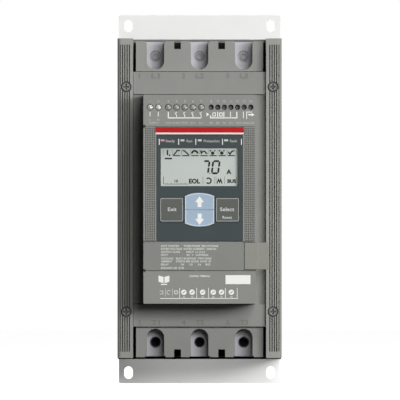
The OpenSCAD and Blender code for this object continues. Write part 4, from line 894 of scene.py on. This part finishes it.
def lower_marks():
    """White print of the lower cover: blank field, book, caption, and the row of tool signs."""
    line, divider, divider_top = 0.5, 0.45, -70.0
    head_r, dash, dash_z = 2.15, 0.9, -77.2
    blank = rect(20.5, 40.2, -67.0, -59.9)
    marks = [solid(blank, COVER), *open_book()]
    marks.append(lettering("CONTROL TERMINALS", -8.0, -61.4, 1.4, COVER, "LEFT", 16.4))
    marks.append(stroke([(-31.2, TOOL_LINE_Z), (30.6, TOOL_LINE_Z)], line, COVER))
    marks += [stroke([(x, TOOL_LINE_Z), (x, divider_top)], divider, COVER)
              for x in (-15.7, -2.3, 7.1, 20.4, 29.7)]
    marks += [solid(disc(x, TOOL_Z, head_r), COVER) for x in TOOL_X]
    marks += [stroke([(x - dash, dash_z), (x + dash, dash_z)], line, COVER) for x in TOOL_X]
    return marks


def faint_lower_marks():
    """Thin outline signs at the left end of the row: wire end, stripped wire and torque wheel."""
    line, divider = 0.5, 0.3
    wire_end = [(-31.4, -72.4), (-29.0, -72.4), (-29.0, -74.8), (-31.4, -74.8)]
    stripped = arc(-24.3, -73.5, 1.5, 0.6, 5.2, 15)
    wheel = band(disc(-18.6, TOOL_Z, 1.7), disc(-18.6, TOOL_Z, 1.0), COVER)
    dividers = [stroke([(x, -76.8), (x, -70.6)], divider, COVER) for x in (-27.0, -21.4)]
    return [stroke(wire_end, line, COVER), stroke(stripped, line, COVER), wheel, *dividers]


def tool_slots():
    """Slots across the white screw heads."""
    width, shape = 0.55, np.array([(-1.1, -0.8), (1.1, 0.8)])
    return [stroke(shape + (x, TOOL_Z), width, COVER + INK) for x in TOOL_X]


def key_words(rows):
    """Words on a side key: each row is the word, its middle, its foot, the capitals' height and its width."""
    return [lettering(word, x, z, high, FRONT, wide=wide) for word, x, z, high, wide in rows]


def designations():
    """Raised pole numbers and names on the front face beside the terminals, drawn darker than the face as
    painted shade of their relief.
    """
    high, rise, number_left, name_right, name_wide = 3.7, 0.35, 12.5, 0.3, 6.4
    rows = [(96.0, (("1", "L1"), ("3", "L2"), ("5", "L3"))),
            (-99.4, (("2", "T1"), ("4", "T2"), ("6", "T3")))]
    marks = []
    for z, poles in rows:
        for x, (number, name) in zip(POLE_X, poles):
            marks.append(lettering(number, x - number_left, z, high, FACE, rise=rise))
            marks.append(lettering(name, x + name_right, z, high, FACE, rise=rise, wide=name_wide))
    return marks


def hole_light_inserts():
    """Shallow dished inserts in the line-side holes only, as painted light falling into them from above: a
    profile of radius and depth turned about each axis.
    """
    count = 48
    profile = np.array([(0.3, 0.5), (1.9, 0.5), (2.1, 0.15), (2.5, 0.15), (2.7, 0.6), (3.7, 0.8),
                        (HOLE_R, 0.3), (HOLE_R, INSERT_LENGTH)])
    a = full_turn(count)
    across, up = (np.outer(profile[:, 0], wave(a)).ravel() for wave in (np.cos, np.sin))
    ring = np.column_stack([across, np.repeat(profile[:, 1], count), up])
    return at_places(row_of(POLE_X, TERMINAL_Z), BAR_FACE, (ring, *capped(len(profile), count)))


def grip_places():
    """Grid of places left and right of the keypad panel."""
    wide, high = 6, 64
    columns = np.concatenate([first + GRIP_PITCH * np.arange(wide) for first in GRIP_X])
    x, z = np.meshgrid(columns, GRIP_Z + GRIP_PITCH * np.arange(high))
    return np.column_stack([x.ravel(), z.ravel()])


# Light inserts in the line-side holes only: painted light
piece("line_hole_inserts", [hole_light_inserts()], insert_light_plastic, "housing", flat=False)
# Supply heads lighter than input heads
for name, places, mat in (("supply", SUPPLY_X, lighter_head_steel), ("input", INPUT_X, darker_head_steel)):
    heads = slotted_heads(row_of(places, SCREW_Z), SCREW_R, SCREW_FACE, SCREW_RISE, SCREW_SLOT)
    piece(name + "_screw_heads", [heads], mat, "housing", flat=False)
piece("terminal_marks", terminal_marks(), white_ink, "housing")
piece("terminal_words", terminal_words(), faint_ink, "housing")
piece("strip_line", [solid(rect(*STRIP_LINE), FRONT)], strip_ink, "housing")
piece("lamp_bars", lamp_row(), white_ink, "housing")
piece("lamp_words", lamp_words(), faint_ink, "housing")
piece("display_segments", menu_icons() + reading() + status_fields(), segment_ink, "housing")
piece("display_dividers", faint_marks(), faint_segment_ink, "housing")
piece("rating_rows", rating_rows(), pale_ink, "housing")
piece("lower_marks", lower_marks(), white_ink, "housing")
piece("lower_signs", faint_lower_marks(), pale_ink, "housing")
piece("tool_slots", tool_slots(), slot_ink, "housing")
piece("pole_names", designations(), name_shade_plastic, "housing")
# Grip dots, darker as painted shade between the bumps
piece("grip_dots", [domes(grip_places(), GRIP_R, FRONT, GRIP_RISE)], grip_shade_plastic, "housing",
      flat=False)
for body, x in (("exit_key", -SIDE_KEY_X), ("select_key", SIDE_KEY_X)):
    piece(body + "_border", [frame_of(x, KEY_Z, *SIDE_KEY_HALF, SIDE_KEY_CORNER, SIDE_KEY_BORDER, FRONT)],
          border_ink, body)
piece("exit_key_word", key_words([("Exit", -21.6, -9.3, 2.8, 6.8)]), pale_ink, "exit_key")
piece("select_key_words", key_words([("Select", 21.8, -9.3, 2.8, 11.4), ("Reset", 21.8, -15.3, 2.0, 7.4)]),
      pale_ink, "select_key")
web = rect(-WEB_HALF[0], WEB_HALF[0], KEY_Z - WEB_HALF[1], KEY_Z + WEB_HALF[1])
piece("key_web", [solid(web, WEB_SEAT, WEB_RISE)], web_plastic, "housing")
for body, up, tip, tail in (("up_key", True, 2.4, -6.2), ("down_key", False, -20.3, -11.3)):
    piece(body + "_border", [stroke(arrow_edge(ARROW_BORDER_INSET, up), ARROW_BORDER, FRONT)],
          blue_border_ink, body)
    piece(body + "_arrow", [arrow(tip, tail)], white_ink, body)


# Floor, light and camera

def white_floor():
    """Pale floor under the lower edge: white to the camera where it is lit, with its soft shadow kept."""
    half, gap = 6.0, 0.2
    bounce_tone, seen_tone, glow_level = 0.12, 0.5, 0.97
    low = cad_box[0][2] - gap * MM
    mesh = bpy.data.meshes.new("floor")
    mesh.from_pydata([(-half, -half, low), (half, -half, low), (half, half, low), (-half, half, low)], [],
                     [(0, 1, 2, 3)])
    mat = bpy.data.materials.new("floor_white")
    mat.use_nodes = True
    tree = mat.node_tree
    tree.nodes.clear()
    path = add(tree, "ShaderNodeLightPath").outputs["Is Camera Ray"]
    lift = reckon(tree, "MULTIPLY", path, glow_level)
    tones = {"Value": path, "To Min": bounce_tone, "To Max": seen_tone}
    tone = add(tree, "ShaderNodeMapRange", tones).outputs[0]
    paper = add(tree, "ShaderNodeBsdfDiffuse", {"Color": tone}).outputs[0]
    glow = add(tree, "ShaderNodeEmission", {"Color": (1, 1, 1, 1), "Strength": lift}).outputs[0]
    both = add(tree, "ShaderNodeAddShader", {0: paper, 1: glow}).outputs[0]
    add(tree, "ShaderNodeOutputMaterial", {"Surface": both})
    mesh.materials.append(mat)
    floor = bpy.data.objects.new("floor", mesh)
    bpy.context.scene.collection.objects.link(floor)


def studio_world(ambient, mirrored):
    """White behind the object, a fair level in its reflections, and a weak even light otherwise."""
    world = bpy.data.worlds.new("studio")
    bpy.context.scene.world = world
    world.use_nodes = True
    tree = world.node_tree
    tree.nodes.clear()
    path = add(tree, "ShaderNodeLightPath").outputs
    seen = reckon(tree, "MAXIMUM", path["Is Glossy Ray"], path["Is Transmission Ray"])
    level = add(tree, "ShaderNodeMapRange", {"Value": seen, "To Min": ambient, "To Max": mirrored}).outputs[0]
    strength = reckon(tree, "MAXIMUM", path["Is Camera Ray"], level)
    back = add(tree, "ShaderNodeBackground", {"Color": (1, 1, 1, 1), "Strength": strength}).outputs[0]
    add(tree, "ShaderNodeOutputWorld", {"Surface": back})


def toward(azimuth, elevation, distance):
    """Point at a distance from the middle of the object: azimuth to the right of the front, elevation up."""
    az, el = math.radians(azimuth), math.radians(elevation)
    return (distance * math.sin(az) * math.cos(el), MIDDLE[1] - distance * math.cos(az) * math.cos(el),
            distance * math.sin(el))


def soft_box(name, place, aim, width, height, power):
    """Rectangular area light that looks from place to aim."""
    lamp = bpy.data.lights.new(name, "AREA")
    lamp.shape = "RECTANGLE"
    lamp.size = width
    lamp.size_y = height
    lamp.energy = power
    obj = bpy.data.objects.new(name, lamp)
    ahead = np.array(aim) - np.array(place)
    ahead = ahead / np.linalg.norm(ahead)
    obj.location = place
    obj.rotation_euler = (math.acos(-ahead[2]), 0, math.atan2(-ahead[0], ahead[1]))
    obj.visible_camera = False
    bpy.context.scene.collection.objects.link(obj)


def front_camera():
    """Long lens straight in front, aimed at the middle of the picture."""
    lens, sensor, wide, plane = 1650.0, 36.0, 0.3173, 0.16
    right, up = 0.00034, -0.0006
    cam = bpy.data.cameras.new("camera")
    cam.lens = lens
    cam.sensor_width = sensor
    cam.clip_end = 100
    obj = bpy.data.objects.new("camera", cam)
    obj.location = (right, -plane - wide * lens / sensor, up)
    obj.rotation_euler = (math.pi / 2, 0, 0)
    bpy.context.scene.collection.objects.link(obj)
    bpy.context.scene.camera = obj


white_floor()
studio_world(ambient=0.012, mirrored=0.10)
soft_box("front light", toward(21, 8, 4.0), MIDDLE, width=2.8, height=0.75, power=123.0)
soft_box("top light", toward(42, 55, 2.5), MIDDLE, width=1.2, height=1.2, power=24.0)
soft_box("rear light left", toward(215, 30, 2.0), BACK, width=1.2, height=1.2, power=20.0)
soft_box("rear light right", toward(140, 35, 2.0), BACK, width=1.2, height=1.2, power=14.0)
soft_box("low bounce", (0, -0.075, -0.144), (0, -0.002, -0.139), width=0.13, height=0.01, power=0.03)
front_camera()
bpy.context.scene.view_settings.view_transform = "Standard"
